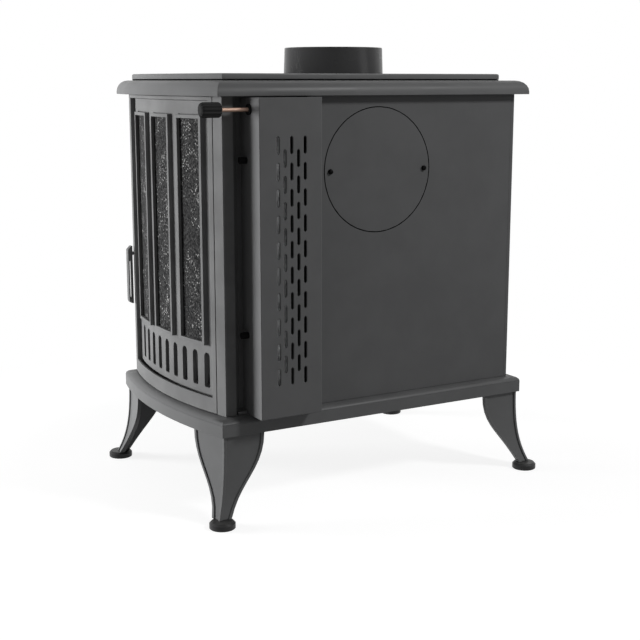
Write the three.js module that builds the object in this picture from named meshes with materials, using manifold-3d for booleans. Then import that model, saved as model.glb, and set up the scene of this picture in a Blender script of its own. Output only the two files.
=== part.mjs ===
// Bow-fronted cast-iron box stove on four cabriole legs.
// Millimetres, +Z up, front towards -Y, origin on the floor under the middle of the stove.

import * as THREE from 'three';
import { mergeVertices } from 'three/addons/utils/BufferGeometryUtils.js';
import Module from 'manifold-3d';

const wasm = await Module();
wasm.setup();

// ---------------------------------------------------------------- driving dimensions

const SEAT_GAP = 0.3; // between two pieces that touch
const HOLE_GAP = 0.3; // all round a shank in its hole
const RUN_GAP = 0.08; // all round a pin, spindle or rod that turns or slides
const PAST = 1; // how far a cutter runs past the face it cuts
const BOW_STEPS = 14; // facets across a full bow
const WINDOW_STEPS = 4; // facets across a window
const HOLE_SIDES = 8;
const SHAFT_SIDES = 20;
const DISC_SIDES = 32;

// Heights.
const LEG_HEIGHT = 134; // floor to the lower edge of the base
const BASE_HEIGHT = 27;
const BODY_HEIGHT = 475; // deck of the base to the underside of the top
const TOP_THICK = 22;
const RAISED_THICK = 10.1;
const COLLAR_HEIGHT = 42.3;

// Plan sizes.
const BODY_WIDTH = 362;
const BODY_DEPTH = 531.2; // back panel to the front corners of the door
const BODY_BOW = 25.3; // how far the door bows out beyond its corners
const SLAB_BOW = 25; // the same for the base and the top
const DOOR_LAP = 20; // the door's corner beyond the firebox wall's inner face
const POST_WIDTH = 21; // fixed post on the hinge side of the door
const BASE_MARGIN_SIDE = 14; // the base stands out from the body
const BASE_MARGIN_FRONT = 14.4;
const BASE_MARGIN_REAR = 18.9;
const TOP_MARGIN_SIDE = 15;

// Walls.
const CASTING_WALL = 6;
const PANEL_WALL = 6;
const FIREBOX_WALL = 6;
const SHEET = 2;
const BOTTOM_PLATE_THICK = 5;
const FRONT_PLATE_THICK = 8;
const JACKET_GAP = 11; // air space between the firebox wall and the side panel

// ---------------------------------------------------------------- derived levels

const DECK_Z = LEG_HEIGHT + BASE_HEIGHT;
const TOP_Z = DECK_Z + BODY_HEIGHT;
const RAISED_Z = TOP_Z + TOP_THICK + SEAT_GAP;
const COLLAR_Z = RAISED_Z + RAISED_THICK + SEAT_GAP;
const BODY_LOW_Z = DECK_Z + SEAT_GAP;
const BODY_HIGH_Z = TOP_Z - SEAT_GAP;
const FLOOR_Z = BODY_LOW_Z + BOTTOM_PLATE_THICK;
const BODY_HALF = BODY_WIDTH / 2;
const REAR_Y = BODY_DEPTH / 2;
const CORNER_Y = -BODY_DEPTH / 2;
const PANEL_IN_X = BODY_HALF - PANEL_WALL;
const WALL_OUT_X = PANEL_IN_X - JACKET_GAP;
const WALL_IN_X = WALL_OUT_X - FIREBOX_WALL;
const BACK_IN_Y = REAR_Y - PANEL_WALL;

// ---------------------------------------------------------------- solid helpers

/** Turns a closed three.js geometry into a solid. */
function solid(geometry) {
  const bare = geometry.index ? geometry.toNonIndexed() : geometry.clone();
  bare.deleteAttribute('normal');
  bare.deleteAttribute('uv');
  const merged = mergeVertices(bare, 1e-4);
  const index = merged.index.array;
  const kept = [];
  for (let i = 0; i < index.length; i += 3) {
    const [a, b, c] = [index[i], index[i + 1], index[i + 2]];
    if (a !== b && b !== c && c !== a) kept.push(a, b, c);
  }
  return new wasm.Manifold(new wasm.Mesh({
    numProp: 3,
    vertProperties: new Float32Array(merged.attributes.position.array),
    triVerts: new Uint32Array(kept),
  }));
}

/** Joins solids into one. */
function join(first, ...rest) {
  return rest.reduce((whole, next) => whole.add(next), first);
}

/** Cuts tools out of a solid. */
function cut(body, ...tools) {
  return tools.reduce((whole, tool) => whole.subtract(tool), body);
}

/** A block between two corners. */
function block(x0, x1, y0, y1, z0, z1) {
  const geometry = new THREE.BoxGeometry(x1 - x0, y1 - y0, z1 - z0);
  geometry.translate((x0 + x1) / 2, (y0 + y1) / 2, (z0 + z1) / 2);
  return solid(geometry);
}

/** An outline in plan, raised from z0 to z1. */
function prism(points, z0, z1) {
  const shape = new THREE.Shape(points);
  const geometry = new THREE.ExtrudeGeometry(shape, { depth: z1 - z0, bevelEnabled: false });
  geometry.translate(0, 0, z0);
  return solid(geometry);
}

/** An outline drawn in (Y, Z) and thickened along X. */
function sideProfile(points, x0, x1) {
  const shape = new THREE.Shape(points);
  const geometry = new THREE.ExtrudeGeometry(shape, { depth: x1 - x0, bevelEnabled: false });
  geometry.rotateZ(Math.PI / 2);
  geometry.rotateY(Math.PI / 2);
  geometry.translate(x0, 0, 0);
  return solid(geometry);
}

/** An outline drawn in (X, Z) and thickened along Y. */
function frontProfile(points, y0, y1) {
  const shape = new THREE.Shape(points);
  const geometry = new THREE.ExtrudeGeometry(shape, { depth: y1 - y0, bevelEnabled: false });
  geometry.rotateX(Math.PI / 2);
  geometry.translate(0, y1, 0);
  return solid(geometry);
}

/** A round bar along one axis; centre gives the other two coordinates in axis order. */
function bar(axis, radius, from, to, centre, sides = HOLE_SIDES) {
  const geometry = new THREE.CylinderGeometry(radius, radius, to - from, sides);
  geometry.translate(0, (from + to) / 2, 0);
  const [p, q] = centre;
  if (axis === 'x') geometry.rotateZ(-Math.PI / 2).translate(0, p, q);
  if (axis === 'y') geometry.translate(p, 0, q);
  if (axis === 'z') geometry.rotateX(Math.PI / 2).translate(p, q, 0);
  return solid(geometry);
}

/** A body whose plan changes with height: every level has the same number of points. */
function loft(levels) {
  if (THREE.ShapeUtils.isClockWise(levels[0].points)) {
    for (const level of levels) level.points.reverse();
  }
  const count = levels[0].points.length;
  const positions = [];
  const push = (point, z) => positions.push(point.x, point.y, z);
  for (let level = 1; level < levels.length; level += 1) {
    const low = levels[level - 1];
    const high = levels[level];
    for (let i = 0; i < count; i += 1) {
      const j = (i + 1) % count;
      push(low.points[i], low.z);
      push(low.points[j], low.z);
      push(high.points[j], high.z);
      push(low.points[i], low.z);
      push(high.points[j], high.z);
      push(high.points[i], high.z);
    }
  }
  const top = levels[levels.length - 1];
  for (const [a, b, c] of THREE.ShapeUtils.triangulateShape(levels[0].points, [])) {
    for (const i of [c, b, a]) push(levels[0].points[i], levels[0].z);
  }
  for (const [a, b, c] of THREE.ShapeUtils.triangulateShape(top.points, [])) {
    for (const i of [a, b, c]) push(top.points[i], top.z);
  }
  const geometry = new THREE.BufferGeometry();
  geometry.setAttribute('position', new THREE.Float32BufferAttribute(positions, 3));
  return solid(geometry);
}

/** A ring or knob turned about a vertical axis from a closed (radius, z) profile. */
function turned(profile, centre, sides) {
  const closed = [...profile, profile[0]];
  const points = closed.map(([radius, z]) => new THREE.Vector2(radius, z));
  const geometry = new THREE.LatheGeometry(points, sides);
  geometry.rotateX(Math.PI / 2);
  geometry.translate(centre[0], centre[1], 0);
  const body = solid(geometry);
  return body.volume() < 0 ? solid(flipped(geometry)) : body;
}

/** The same triangles, facing the other way. */
function flipped(geometry) {
  const bare = geometry.toNonIndexed();
  const old = bare.attributes.position;
  const positions = [];
  for (let i = 0; i < old.count; i += 3) {
    for (const j of [i + 2, i + 1, i]) positions.push(old.getX(j), old.getY(j), old.getZ(j));
  }
  const turnedRound = new THREE.BufferGeometry();
  turnedRound.setAttribute('position', new THREE.Float32BufferAttribute(positions, 3));
  return turnedRound;
}

const vec = (x, y) => new THREE.Vector2(x, y);

/** Mirrors a solid to the left side of the stove. */
const mirrored = (body) => body.mirror([1, 0, 0]);

// ---------------------------------------------------------------- bow fronts

/** A plan with a bowed front: radius and centre come from the chord and the bow. */
function bowedPlan(halfWidth, rearY, cornerY, bow) {
  const radius = (halfWidth * halfWidth + bow * bow) / (2 * bow);
  return { halfWidth, rearY, radius, centreY: cornerY - bow + radius };
}

/** Front line of a bowed plan at x, set back by inset. */
function bowY(plan, x, inset = 0) {
  const radius = plan.radius - inset;
  return plan.centreY - Math.sqrt(radius * radius - x * x);
}

/** Points along the bow from x0 to x1, set back by inset. */
function bowLine(plan, x0, x1, inset, steps) {
  const points = [];
  for (let i = 0; i <= steps; i += 1) {
    const x = x0 + (x1 - x0) * i / steps;
    points.push(vec(x, bowY(plan, x, inset)));
  }
  return points;
}

/** The whole outline of a bowed plan, drawn in by inset on every side. */
function bowedOutline(plan, inset, rearInset = inset) {
  const half = plan.halfWidth - inset;
  const front = bowLine(plan, -half, half, inset, BOW_STEPS);
  return [...front, vec(half, plan.rearY - rearInset), vec(-half, plan.rearY - rearInset)];
}

/** A moulded slab: levels pair an inset with a height. */
function mouldedSlab(plan, levels) {
  return loft(levels.map(([inset, z]) => ({ z, points: bowedOutline(plan, inset) })));
}

/** Quarter-round edge levels: from full size at z0 to drawn in by reach at z0 + rise. */
function ovolo(z0, reach, rise, steps) {
  const levels = [];
  for (let i = 0; i <= steps; i += 1) {
    const angle = Math.PI / 2 * i / steps;
    levels.push([reach * (1 - Math.cos(angle)), z0 + rise * Math.sin(angle)]);
  }
  return levels;
}

const baseCornerY = CORNER_Y - BASE_MARGIN_FRONT;
const basePlan = bowedPlan(BODY_HALF + BASE_MARGIN_SIDE, REAR_Y + BASE_MARGIN_REAR, baseCornerY, SLAB_BOW);
const topPlan = bowedPlan(BODY_HALF + TOP_MARGIN_SIDE, REAR_Y + BASE_MARGIN_REAR, baseCornerY, SLAB_BOW);
const doorHalf = WALL_IN_X + DOOR_LAP;
const doorPlan = bowedPlan(doorHalf, REAR_Y, CORNER_Y, BODY_BOW);

// ---------------------------------------------------------------- base and legs

const BASE_OVOLO_REACH = 15;
const BASE_OVOLO_RISE = 8;
const RIM_TOP_Z = DECK_Z - BASE_OVOLO_RISE - SEAT_GAP; // the deck plate lies on the rim
const OVOLO_STEPS = 4;
const BOSS_SIZE = 44; // corner boss that a leg is bolted to
const LEG_INSET = 4; // leg face behind the edge of the base
const LEG_WING_FRONT = 78;
const LEG_WING_SIDE = 68;
const LEG_ANKLE = 20;
const LEG_SWEEP = 18; // how far the foot kicks out past the corner
const LEG_WALL_TOP = 6;
const LEG_WALL_ANKLE = 9;
const LEG_RIM = 5;
const LEG_RIM_DEPTH = 2;
const LEG_STEPS = 10;
const LEG_SHOULDER = 0.56; // share of the leg's height where the wings start to narrow
const LEG_CALF = 0.463; // share where they have narrowed
const SWEEP_HIGH = 0.597; // the same for the foot's outward sweep
const SWEEP_LOW = 0.336;
const SWEEP_EASE = 4;
const CALF_WIDTH = 0.12;
const LEG_FLANGE_SIZE = 46;
const LEG_FLANGE_THICK = 6;
const LEG_FRONT_SKEW = 10.5 * Math.PI / 180; // the front wing follows the bow
const FOOT_RADIUS = 20;
const FOOT_HEIGHT = 11;
const FOOT_EDGE = 3;
const FOOT_BEVEL = 1;
const FOOT_SIDES = 20;
const FOOT_X = basePlan.halfWidth + 13; // middle of a foot
const FOOT_Y = basePlan.rearY + 4.5;
const BOLT_RADIUS = 3;
const LEG_BOLT_REACH = 14; // into the boss
const SWEEP_HALVINGS = 30; // steps of the search for a height on the foot's sweep
const LEG_BOLT_OFFSETS = [14, 32]; // from the inner faces of the wings

const HINGE_IN = 7; // hinge axis inwards from the seam
const HINGE_DEPTH = 5.3; // hinge axis behind the leaf's corner
const SEAM_X = doorHalf - POST_WIDTH;
const SEAM_GAP = 1.5;
const PIN_RADIUS = 3;
const PIN_IN_LEAF = 13;
const PIN_IN_CASTING = 9;
const LEAF_GAP_Z = 1; // above and below the door
const pins = { x: SEAM_X - HINGE_IN, y: bowY(doorPlan, SEAM_X) + HINGE_DEPTH };

const STUD_RADIUS = 4;
const STUD_IN_DECK = 5;
const STUD_X = BODY_HALF - 21;
const STUD_YS = [25, 60];

/** Corner of the leg's plan at one corner of the base: sx and sy give the corner. */
function legFrame(sx, sy) {
  const front = sy < 0;
  const cornerX = sx * (basePlan.halfWidth - LEG_INSET);
  const cornerY = front ? baseCornerY + LEG_INSET : basePlan.rearY - LEG_INSET;
  const skew = front ? LEG_FRONT_SKEW : 0;
  return {
    corner: vec(cornerX, cornerY),
    along: vec(-sx * Math.cos(skew), sy * Math.sin(skew)),
    back: vec(0, -sy),
    outward: vec(sx, sy),
  };
}

/** Points of the L-shaped section of a leg, as (u, v) distances along its two wings. */
function legSection(wingA, wingB, wall) {
  const rimA = wingA - LEG_RIM;
  const rimB = wingB - LEG_RIM;
  const d = LEG_RIM_DEPTH;
  const e = LEG_RIM - 1;
  return [
    [0, 0], [e, 0], [e, d], [rimA, d], [rimA, 0], [wingA, 0], [wingA, wall], [wall, wall],
    [wall, wingB], [0, wingB], [0, rimB], [d, rimB], [d, e], [0, e],
  ];
}

/** A cabriole leg with its bolting flange. */
function cabrioleLeg(sx, sy) {
  const frame = legFrame(sx, sy);
  const z0 = FOOT_HEIGHT + SEAT_GAP;
  const z1 = LEG_HEIGHT - SEAT_GAP;
  const edge = new THREE.CubicBezierCurve(
    vec(1, z1), vec(1, LEG_HEIGHT * LEG_SHOULDER), vec(CALF_WIDTH, LEG_HEIGHT * LEG_CALF), vec(0, z0),
  );
  const sweep = new THREE.CubicBezierCurve(
    vec(0, z1), vec(0, LEG_HEIGHT * SWEEP_HIGH), vec(SWEEP_EASE, LEG_HEIGHT * SWEEP_LOW), vec(LEG_SWEEP, z0),
  );
  const levels = [];
  for (let i = LEG_STEPS; i >= 0; i -= 1) {
    const { x: share, y: z } = edge.getPoint(i / LEG_STEPS);
    const shift = sweepAt(sweep, z);
    const wingA = LEG_ANKLE + (LEG_WING_FRONT - LEG_ANKLE) * share;
    const wingB = LEG_ANKLE + (LEG_WING_SIDE - LEG_ANKLE) * share;
    const wall = LEG_WALL_ANKLE + (LEG_WALL_TOP - LEG_WALL_ANKLE) * share;
    const origin = frame.corner.clone().addScaledVector(frame.outward, shift);
    const points = legSection(wingA, wingB, wall).map(([u, v]) => origin.clone()
      .addScaledVector(frame.along, u).addScaledVector(frame.back, v));
    levels.push({ z, points });
  }
  const inner = frame.corner.clone().addScaledVector(frame.along, LEG_WALL_TOP / 2)
    .addScaledVector(frame.back, LEG_WALL_TOP / 2);
  const flangeFar = inner.clone().add(vec(-sx * LEG_FLANGE_SIZE, -sy * LEG_FLANGE_SIZE));
  const flange = block(
    Math.min(inner.x, flangeFar.x), Math.max(inner.x, flangeFar.x),
    Math.min(inner.y, flangeFar.y), Math.max(inner.y, flangeFar.y),
    z1 - LEG_FLANGE_THICK, z1,
  );
  const holes = legBoltPlaces(sx, sy)
    .map(([x, y]) => bar('z', BOLT_RADIUS + HOLE_GAP, z1 - 2 * LEG_FLANGE_THICK, z1 + PAST, [x, y]));
  return cut(join(loft(levels), flange), ...holes);
}

/** The sweep curve's outward shift at a height, found by halving. */
function sweepAt(curve, z) {
  let low = 0;
  let high = 1;
  for (let i = 0; i < SWEEP_HALVINGS; i += 1) {
    const middle = (low + high) / 2;
    if (curve.getPoint(middle).y > z) low = middle;
    else high = middle;
  }
  return curve.getPoint((low + high) / 2).x;
}

/** Where the two bolts of a leg stand. */
function legBoltPlaces(sx, sy) {
  const { corner } = legFrame(sx, sy);
  const [near, far] = LEG_BOLT_OFFSETS.map((offset) => offset + LEG_WALL_TOP);
  return [[corner.x - sx * near, corner.y - sy * far], [corner.x - sx * far, corner.y - sy * near]];
}

const CORNERS = [
  ['front_right', 1, -1], ['front_left', -1, -1], ['rear_right', 1, 1], ['rear_left', -1, 1],
];

/** The base casting: an open rim with four bosses, under the deck plate. */
function baseFrame() {
  const outside = mouldedSlab(basePlan, [[0, LEG_HEIGHT], [0, RIM_TOP_Z]]);
  const pocket = mouldedSlab(basePlan, [
    [CASTING_WALL, LEG_HEIGHT - PAST], [CASTING_WALL, RIM_TOP_Z + PAST],
  ]);
  const bosses = CORNERS.map(([, sx, sy]) => {
    const { corner } = legFrame(sx, sy);
    const far = [corner.x - sx * BOSS_SIZE, corner.y - sy * BOSS_SIZE];
    return block(
      Math.min(corner.x, far[0]), Math.max(corner.x, far[0]),
      Math.min(corner.y, far[1]), Math.max(corner.y, far[1]), LEG_HEIGHT, RIM_TOP_Z,
    );
  });
  const boltHoles = CORNERS.flatMap(([, sx, sy]) => legBoltPlaces(sx, sy))
    .map(([x, y]) => bar('z', BOLT_RADIUS + HOLE_GAP, LEG_HEIGHT - PAST,
      LEG_HEIGHT + LEG_BOLT_REACH + SEAT_GAP, [x, y]));
  return cut(join(cut(outside, pocket), ...bosses), ...boltHoles);
}

/** The deck plate with its moulded edge, and blind holes for the studs under it. */
function deckPlate() {
  const low = RIM_TOP_Z + SEAT_GAP;
  const slab = mouldedSlab(basePlan, ovolo(low, BASE_OVOLO_REACH, DECK_Z - low, OVOLO_STEPS));
  const pinHole = bar('z', PIN_RADIUS + HOLE_GAP, low - PAST, DECK_Z + PAST, [pins.x, pins.y], SHAFT_SIDES);
  const studHoles = [-1, 1].flatMap((side) => STUD_YS.map((y) => [side * STUD_X, y]))
    .map(([x, y]) => bar('z', STUD_RADIUS + HOLE_GAP, low - PAST, low + STUD_IN_DECK, [x, y]));
  return cut(slab, pinHole, ...studHoles);
}

/** A round foot under a leg. */
function footPad(sx, sy) {
  return turned([
    [0, 0], [FOOT_RADIUS - FOOT_BEVEL, 0], [FOOT_RADIUS, FOOT_BEVEL],
    [FOOT_RADIUS, FOOT_HEIGHT - FOOT_EDGE],
    [FOOT_RADIUS - FOOT_EDGE, FOOT_HEIGHT], [0, FOOT_HEIGHT],
  ], [sx * FOOT_X, sy * FOOT_Y], FOOT_SIDES);
}

// ---------------------------------------------------------------- top

const TOP_LIP = 4; // upright edge below the ovolo
const TOP_OVOLO_REACH = 17;
const TOP_RIM = 32; // solid rim round the hollow underside
const TOP_WEB = 7;
const TOP_OVOLO_STEPS = 5;
const RAISED_INSET = 24;
const RAISED_REAR_INSET = 45;
const RAISED_UNDERCUT = 2;
const RAISED_ROUND = 2.5;
const ROUND_MIDDLE = 0.3; // middle of a quarter round, as a share of it
const FLUE_Y = 27;
const FLUE_BORE = 75;
const COLLAR_WALL = 6;
const COLLAR_DRAFT = 1.5;
const COLLAR_LEDGE = 9; // inner ledge that carries the bolts
const COLLAR_LEDGE_THICK = 6;
const COLLAR_BOLTS = 3;
const COLLAR_BEVEL = 1;
const COLLAR_SIDES = 32;
const ledgeRadius = FLUE_BORE - COLLAR_LEDGE;

/** Points where the collar's bolts stand. */
function collarBoltPlaces() {
  const places = [];
  for (let i = 0; i < COLLAR_BOLTS; i += 1) {
    const angle = 2 * Math.PI * i / COLLAR_BOLTS + Math.PI / 2;
    const radius = FLUE_BORE - COLLAR_LEDGE / 2;
    places.push([radius * Math.cos(angle), FLUE_Y + radius * Math.sin(angle)]);
  }
  return places;
}

/** The lower moulded top, hollow below, with the flue opening. */
function topPlate() {
  const edge = ovolo(TOP_Z + TOP_LIP, TOP_OVOLO_REACH, TOP_THICK - TOP_LIP, TOP_OVOLO_STEPS);
  const slab = mouldedSlab(topPlan, [[0, TOP_Z], ...edge]);
  const hollow = mouldedSlab(topPlan, [[TOP_RIM, TOP_Z - PAST], [TOP_RIM, TOP_Z + TOP_THICK - TOP_WEB]]);
  const flue = bar('z', ledgeRadius, TOP_Z - PAST, RAISED_Z, [0, FLUE_Y], COLLAR_SIDES);
  const pinHole = bar('z', PIN_RADIUS + HOLE_GAP, TOP_Z - PAST, TOP_Z + PIN_IN_CASTING,
    [pins.x, pins.y], SHAFT_SIDES);
  const bolts = collarBoltPlaces()
    .map((place) => bar('z', BOLT_RADIUS + HOLE_GAP, TOP_Z - PAST, RAISED_Z, place));
  return cut(slab, hollow, flue, pinHole, ...bolts);
}

/** The raised upper slab that the flue collar stands on. */
function raisedTopPlate() {
  const high = RAISED_Z + RAISED_THICK;
  const rearExtra = RAISED_REAR_INSET - RAISED_INSET;
  const levels = [
    [RAISED_UNDERCUT, RAISED_Z], [RAISED_UNDERCUT, RAISED_Z + RAISED_UNDERCUT],
    [0, RAISED_Z + RAISED_UNDERCUT], [0, high - RAISED_ROUND],
    [RAISED_ROUND * ROUND_MIDDLE, high - RAISED_ROUND * ROUND_MIDDLE], [RAISED_ROUND, high],
  ];
  const slab = loft(levels.map(([inset, z]) => ({
    z,
    points: bowedOutline(topPlan, RAISED_INSET + inset, RAISED_INSET + rearExtra + inset),
  })));
  const flue = bar('z', ledgeRadius, RAISED_Z - PAST, high + PAST, [0, FLUE_Y], COLLAR_SIDES);
  const bolts = collarBoltPlaces()
    .map((place) => bar('z', BOLT_RADIUS + HOLE_GAP, RAISED_Z - PAST, high + PAST, place));
  return cut(slab, flue, ...bolts);
}

/** The flue collar with its inner bolting ledge. */
function flueCollar() {
  const low = COLLAR_Z;
  const high = low + COLLAR_HEIGHT;
  const outer = FLUE_BORE + COLLAR_WALL;
  const ring = turned([
    [ledgeRadius, low], [outer + COLLAR_DRAFT, low],
    [outer, high - COLLAR_BEVEL], [outer - COLLAR_BEVEL, high],
    [FLUE_BORE + COLLAR_BEVEL, high], [FLUE_BORE, high - COLLAR_BEVEL], [FLUE_BORE, low + COLLAR_LEDGE_THICK],
    [ledgeRadius, low + COLLAR_LEDGE_THICK],
  ], [0, FLUE_Y], COLLAR_SIDES);
  const holes = collarBoltPlaces()
    .map((place) => bar('z', BOLT_RADIUS + HOLE_GAP, low - PAST, low + COLLAR_LEDGE_THICK + PAST, place));
  return cut(ring, ...holes);
}

// ---------------------------------------------------------------- body shell

const LEAF_DEPTH = 17.6; // the leaf's flat back behind its corners
const SEAL_SPACE = 3; // between the leaf and the plate behind it
const LEAF_BACK_Y = CORNER_Y + LEAF_DEPTH;
const PLATE_FRONT_Y = LEAF_BACK_Y + SEAL_SPACE;
const PLATE_BACK_Y = PLATE_FRONT_Y + FRONT_PLATE_THICK;
const FAIRING_SETBACK = 19; // behind the leaf's back
const FAIRING_DEPTH = 103;
const FAIRING_REACH = 43; // outwards from the side panel
const FAIRING_FRONT_Y = LEAF_BACK_Y + FAIRING_SETBACK;
const DUCT_FRONT_Y = FAIRING_FRONT_Y + 17; // air duct behind the right fairing
const DUCT_BACK_Y = DUCT_FRONT_Y + 52;
const FAIRING_BACK_Y = FAIRING_FRONT_Y + FAIRING_DEPTH;
const FAIRING_X = BODY_HALF + FAIRING_REACH;
const MOUTH_LEFT_X = -(WALL_IN_X - 18); // the mouth leaves room for the seal and the hinges
const MOUTH_RIGHT_X = WALL_IN_X - 30;
const MOUTH_LOW_Z = DECK_Z + 23;
const MOUTH_HIGH_Z = TOP_Z - 36;
const COVER_Z = TOP_Z - 114;
const COVER_RADIUS = 96;
const COVER_THICK = 3;
const COVER_GAP = 1;
const COVER_PORT_RADIUS = 78;
const COVER_SCREW_RADIUS = 86; // from the cover's middle to each screw
const SCREW_RADIUS = 2;
const WALL_START_Y = PLATE_BACK_Y + SEAT_GAP;
const WALL_END_Y = BACK_IN_Y - SEAT_GAP;

const AIR_PORT_RADIUS = 16; // from the duct into the ash space
const AIR_PORT_Z = DECK_Z + 54;
const AIR_PORT_Y = (DUCT_FRONT_Y + DUCT_BACK_Y) / 2;

/** The plate that lines the deck; its lips show in the recesses beside the door. */
function bottomPlate() {
  const lipBack = FAIRING_FRONT_Y - SEAT_GAP;
  const half = PANEL_IN_X - SEAT_GAP;
  const floor = block(-half, half, lipBack, WALL_END_Y, BODY_LOW_Z, FLOOR_Z);
  const notched = [-1, 1].map((side) => {
    const inner = side * (WALL_OUT_X + SEAT_GAP);
    const outer = side * (PANEL_IN_X + PAST);
    return block(Math.min(inner, outer), Math.max(inner, outer), FAIRING_FRONT_Y - PAST,
      FAIRING_BACK_Y + SEAT_GAP, BODY_LOW_Z - PAST, FLOOR_Z + PAST);
  });
  const lip = block(-doorHalf, doorHalf, PLATE_FRONT_Y, lipBack, BODY_LOW_Z, FLOOR_Z);
  return join(cut(floor, ...notched), lip);
}

/** A firebox side wall; the right one has the air port. */
function fireboxWall(withPort) {
  const wall = block(WALL_IN_X, WALL_OUT_X, WALL_START_Y, WALL_END_Y, FLOOR_Z + SEAT_GAP, BODY_HIGH_Z);
  if (!withPort) return wall;
  const port = bar('x', AIR_PORT_RADIUS, WALL_IN_X - PAST, WALL_OUT_X + PAST, [AIR_PORT_Y, AIR_PORT_Z],
    SHAFT_SIDES);
  return cut(wall, port);
}

/** The frame behind the door, with the firebox mouth. */
function fireboxFrontPlate() {
  const plate = block(-WALL_OUT_X, WALL_OUT_X, PLATE_FRONT_Y, PLATE_BACK_Y, FLOOR_Z + SEAT_GAP,
    BODY_HIGH_Z);
  const mouth = block(MOUTH_LEFT_X, MOUTH_RIGHT_X, PLATE_FRONT_Y - PAST, PLATE_BACK_Y + PAST,
    MOUTH_LOW_Z, MOUTH_HIGH_Z);
  return cut(plate, mouth);
}

/** An outer side panel with the stepped round port for its cover. */
function sidePanel() {
  const panel = block(PANEL_IN_X, BODY_HALF, FAIRING_BACK_Y + SEAT_GAP, WALL_END_Y, BODY_LOW_Z,
    BODY_HIGH_Z);
  const centre = [0, COVER_Z];
  const port = bar('x', COVER_PORT_RADIUS, PANEL_IN_X - PAST, BODY_HALF + PAST, centre, DISC_SIDES);
  const rebate = bar('x', COVER_RADIUS + COVER_GAP, BODY_HALF - COVER_THICK - SEAT_GAP,
    BODY_HALF + PAST, centre, DISC_SIDES);
  const holes = coverScrewPlaces()
    .map((place) => bar('x', SCREW_RADIUS + HOLE_GAP, PANEL_IN_X - PAST, BODY_HALF + PAST, place));
  return cut(panel, port, rebate, ...holes);
}

/** The two screws of a side cover, as (y, z). */
function coverScrewPlaces() {
  return [[-COVER_SCREW_RADIUS, COVER_Z], [COVER_SCREW_RADIUS, COVER_Z]];
}

/** A round side cover, flush with its panel. */
function sideCover() {
  const disc = bar('x', COVER_RADIUS, BODY_HALF - COVER_THICK, BODY_HALF, [0, COVER_Z], DISC_SIDES);
  const holes = coverScrewPlaces()
    .map((place) => bar('x', SCREW_RADIUS + HOLE_GAP, PANEL_IN_X - PAST, BODY_HALF + PAST, place));
  return cut(disc, ...holes);
}

const BACK_SCREW_ROWS = 4;
const BACK_SCREW_INSET = 18; // from the deck and from the top

/** Screws of the back panel, as (x, z): a column down each side. */
function backScrewPlaces() {
  const places = [];
  for (let row = 0; row < BACK_SCREW_ROWS; row += 1) {
    const span = BODY_HEIGHT - 2 * BACK_SCREW_INSET;
    const z = DECK_Z + BACK_SCREW_INSET + span * row / (BACK_SCREW_ROWS - 1);
    for (const side of [-1, 1]) places.push([side * (WALL_OUT_X - FIREBOX_WALL / 2), z]);
  }
  return places;
}

/** The flat back of the stove. */
function backPanel() {
  const panel = block(-BODY_HALF, BODY_HALF, BACK_IN_Y, REAR_Y, BODY_LOW_Z, BODY_HIGH_Z);
  const holes = backScrewPlaces()
    .map((place) => bar('y', SCREW_RADIUS + HOLE_GAP, BACK_IN_Y - PAST, REAR_Y + PAST, place));
  return cut(panel, ...holes);
}

const POST_STEPS = 3;

/** The fixed post on the hinge side of the door. */
function frontPost() {
  const front = bowLine(doorPlan, SEAM_X, doorHalf, 0, POST_STEPS);
  const outline = [
    ...front, vec(doorHalf, LEAF_BACK_Y), vec(WALL_OUT_X, LEAF_BACK_Y),
    vec(WALL_OUT_X, PLATE_FRONT_Y - SEAT_GAP), vec(SEAM_X, PLATE_FRONT_Y - SEAT_GAP),
  ];
  const post = prism(outline, BODY_LOW_Z, BODY_HIGH_Z);
  const relief = bar('z', leafEndRadius() + SEAM_GAP, BODY_LOW_Z - PAST, BODY_HIGH_Z + PAST,
    [pins.x, pins.y], DISC_SIDES);
  const clear = block(SEAM_X - PAST, pins.x + leafEndRadius() + SEAM_GAP, pins.y, PLATE_FRONT_Y,
    BODY_LOW_Z - PAST, BODY_HIGH_Z + PAST);
  return cut(post, relief, clear);
}

/** Distance from the hinge axis to the leaf's outer corner. */
function leafEndRadius() {
  return Math.hypot(HINGE_IN, HINGE_DEPTH);
}

// ---------------------------------------------------------------- slotted fairings

const SLOT_LENGTH = 27;
const SLOT_WIDTH = 5;
const SLOT_PITCH_Y = 11.2;
const SLOT_FIRST_Y = FAIRING_FRONT_Y + 30;
const SLOT_FIRST_Z = DECK_Z + 62.5;
const SLOT_LAST_Z = TOP_Z - 69.6;
const SLOT_COLUMNS = 5;
const SLOT_ROWS = 10;
const SLOT_PITCH_Z = (SLOT_LAST_Z - SLOT_FIRST_Z) / (SLOT_ROWS - 1);
const SLOT_END_STEPS = 2; // facets of a slot's round end
const FAIRING_DROP = 1.2; // the fairing's top below the body's
const FAIRING_BOLT_X = WALL_OUT_X + 18;
const FAIRING_BOLT_ZS = [DECK_Z + 123, TOP_Z - 92];
const FAIRING_BOLT_RADIUS = 5;
const FAIRING_BOLT_HEIGHT = 11;
const FAIRING_NUT_HEIGHT = 4;
const NUT_SIDES = 6;
const ROD_X = WALL_OUT_X + 29;
const ROD_Z = TOP_Z - 19;
const ROD_RADIUS = 3.2;
const BUSH_RADIUS = 6;
const BUSH_FLANGE_RADIUS = 8;
const BUSH_FLANGE_THICK = 2;
const BUSH_BEYOND = 1; // sleeve behind the sheet

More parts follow.
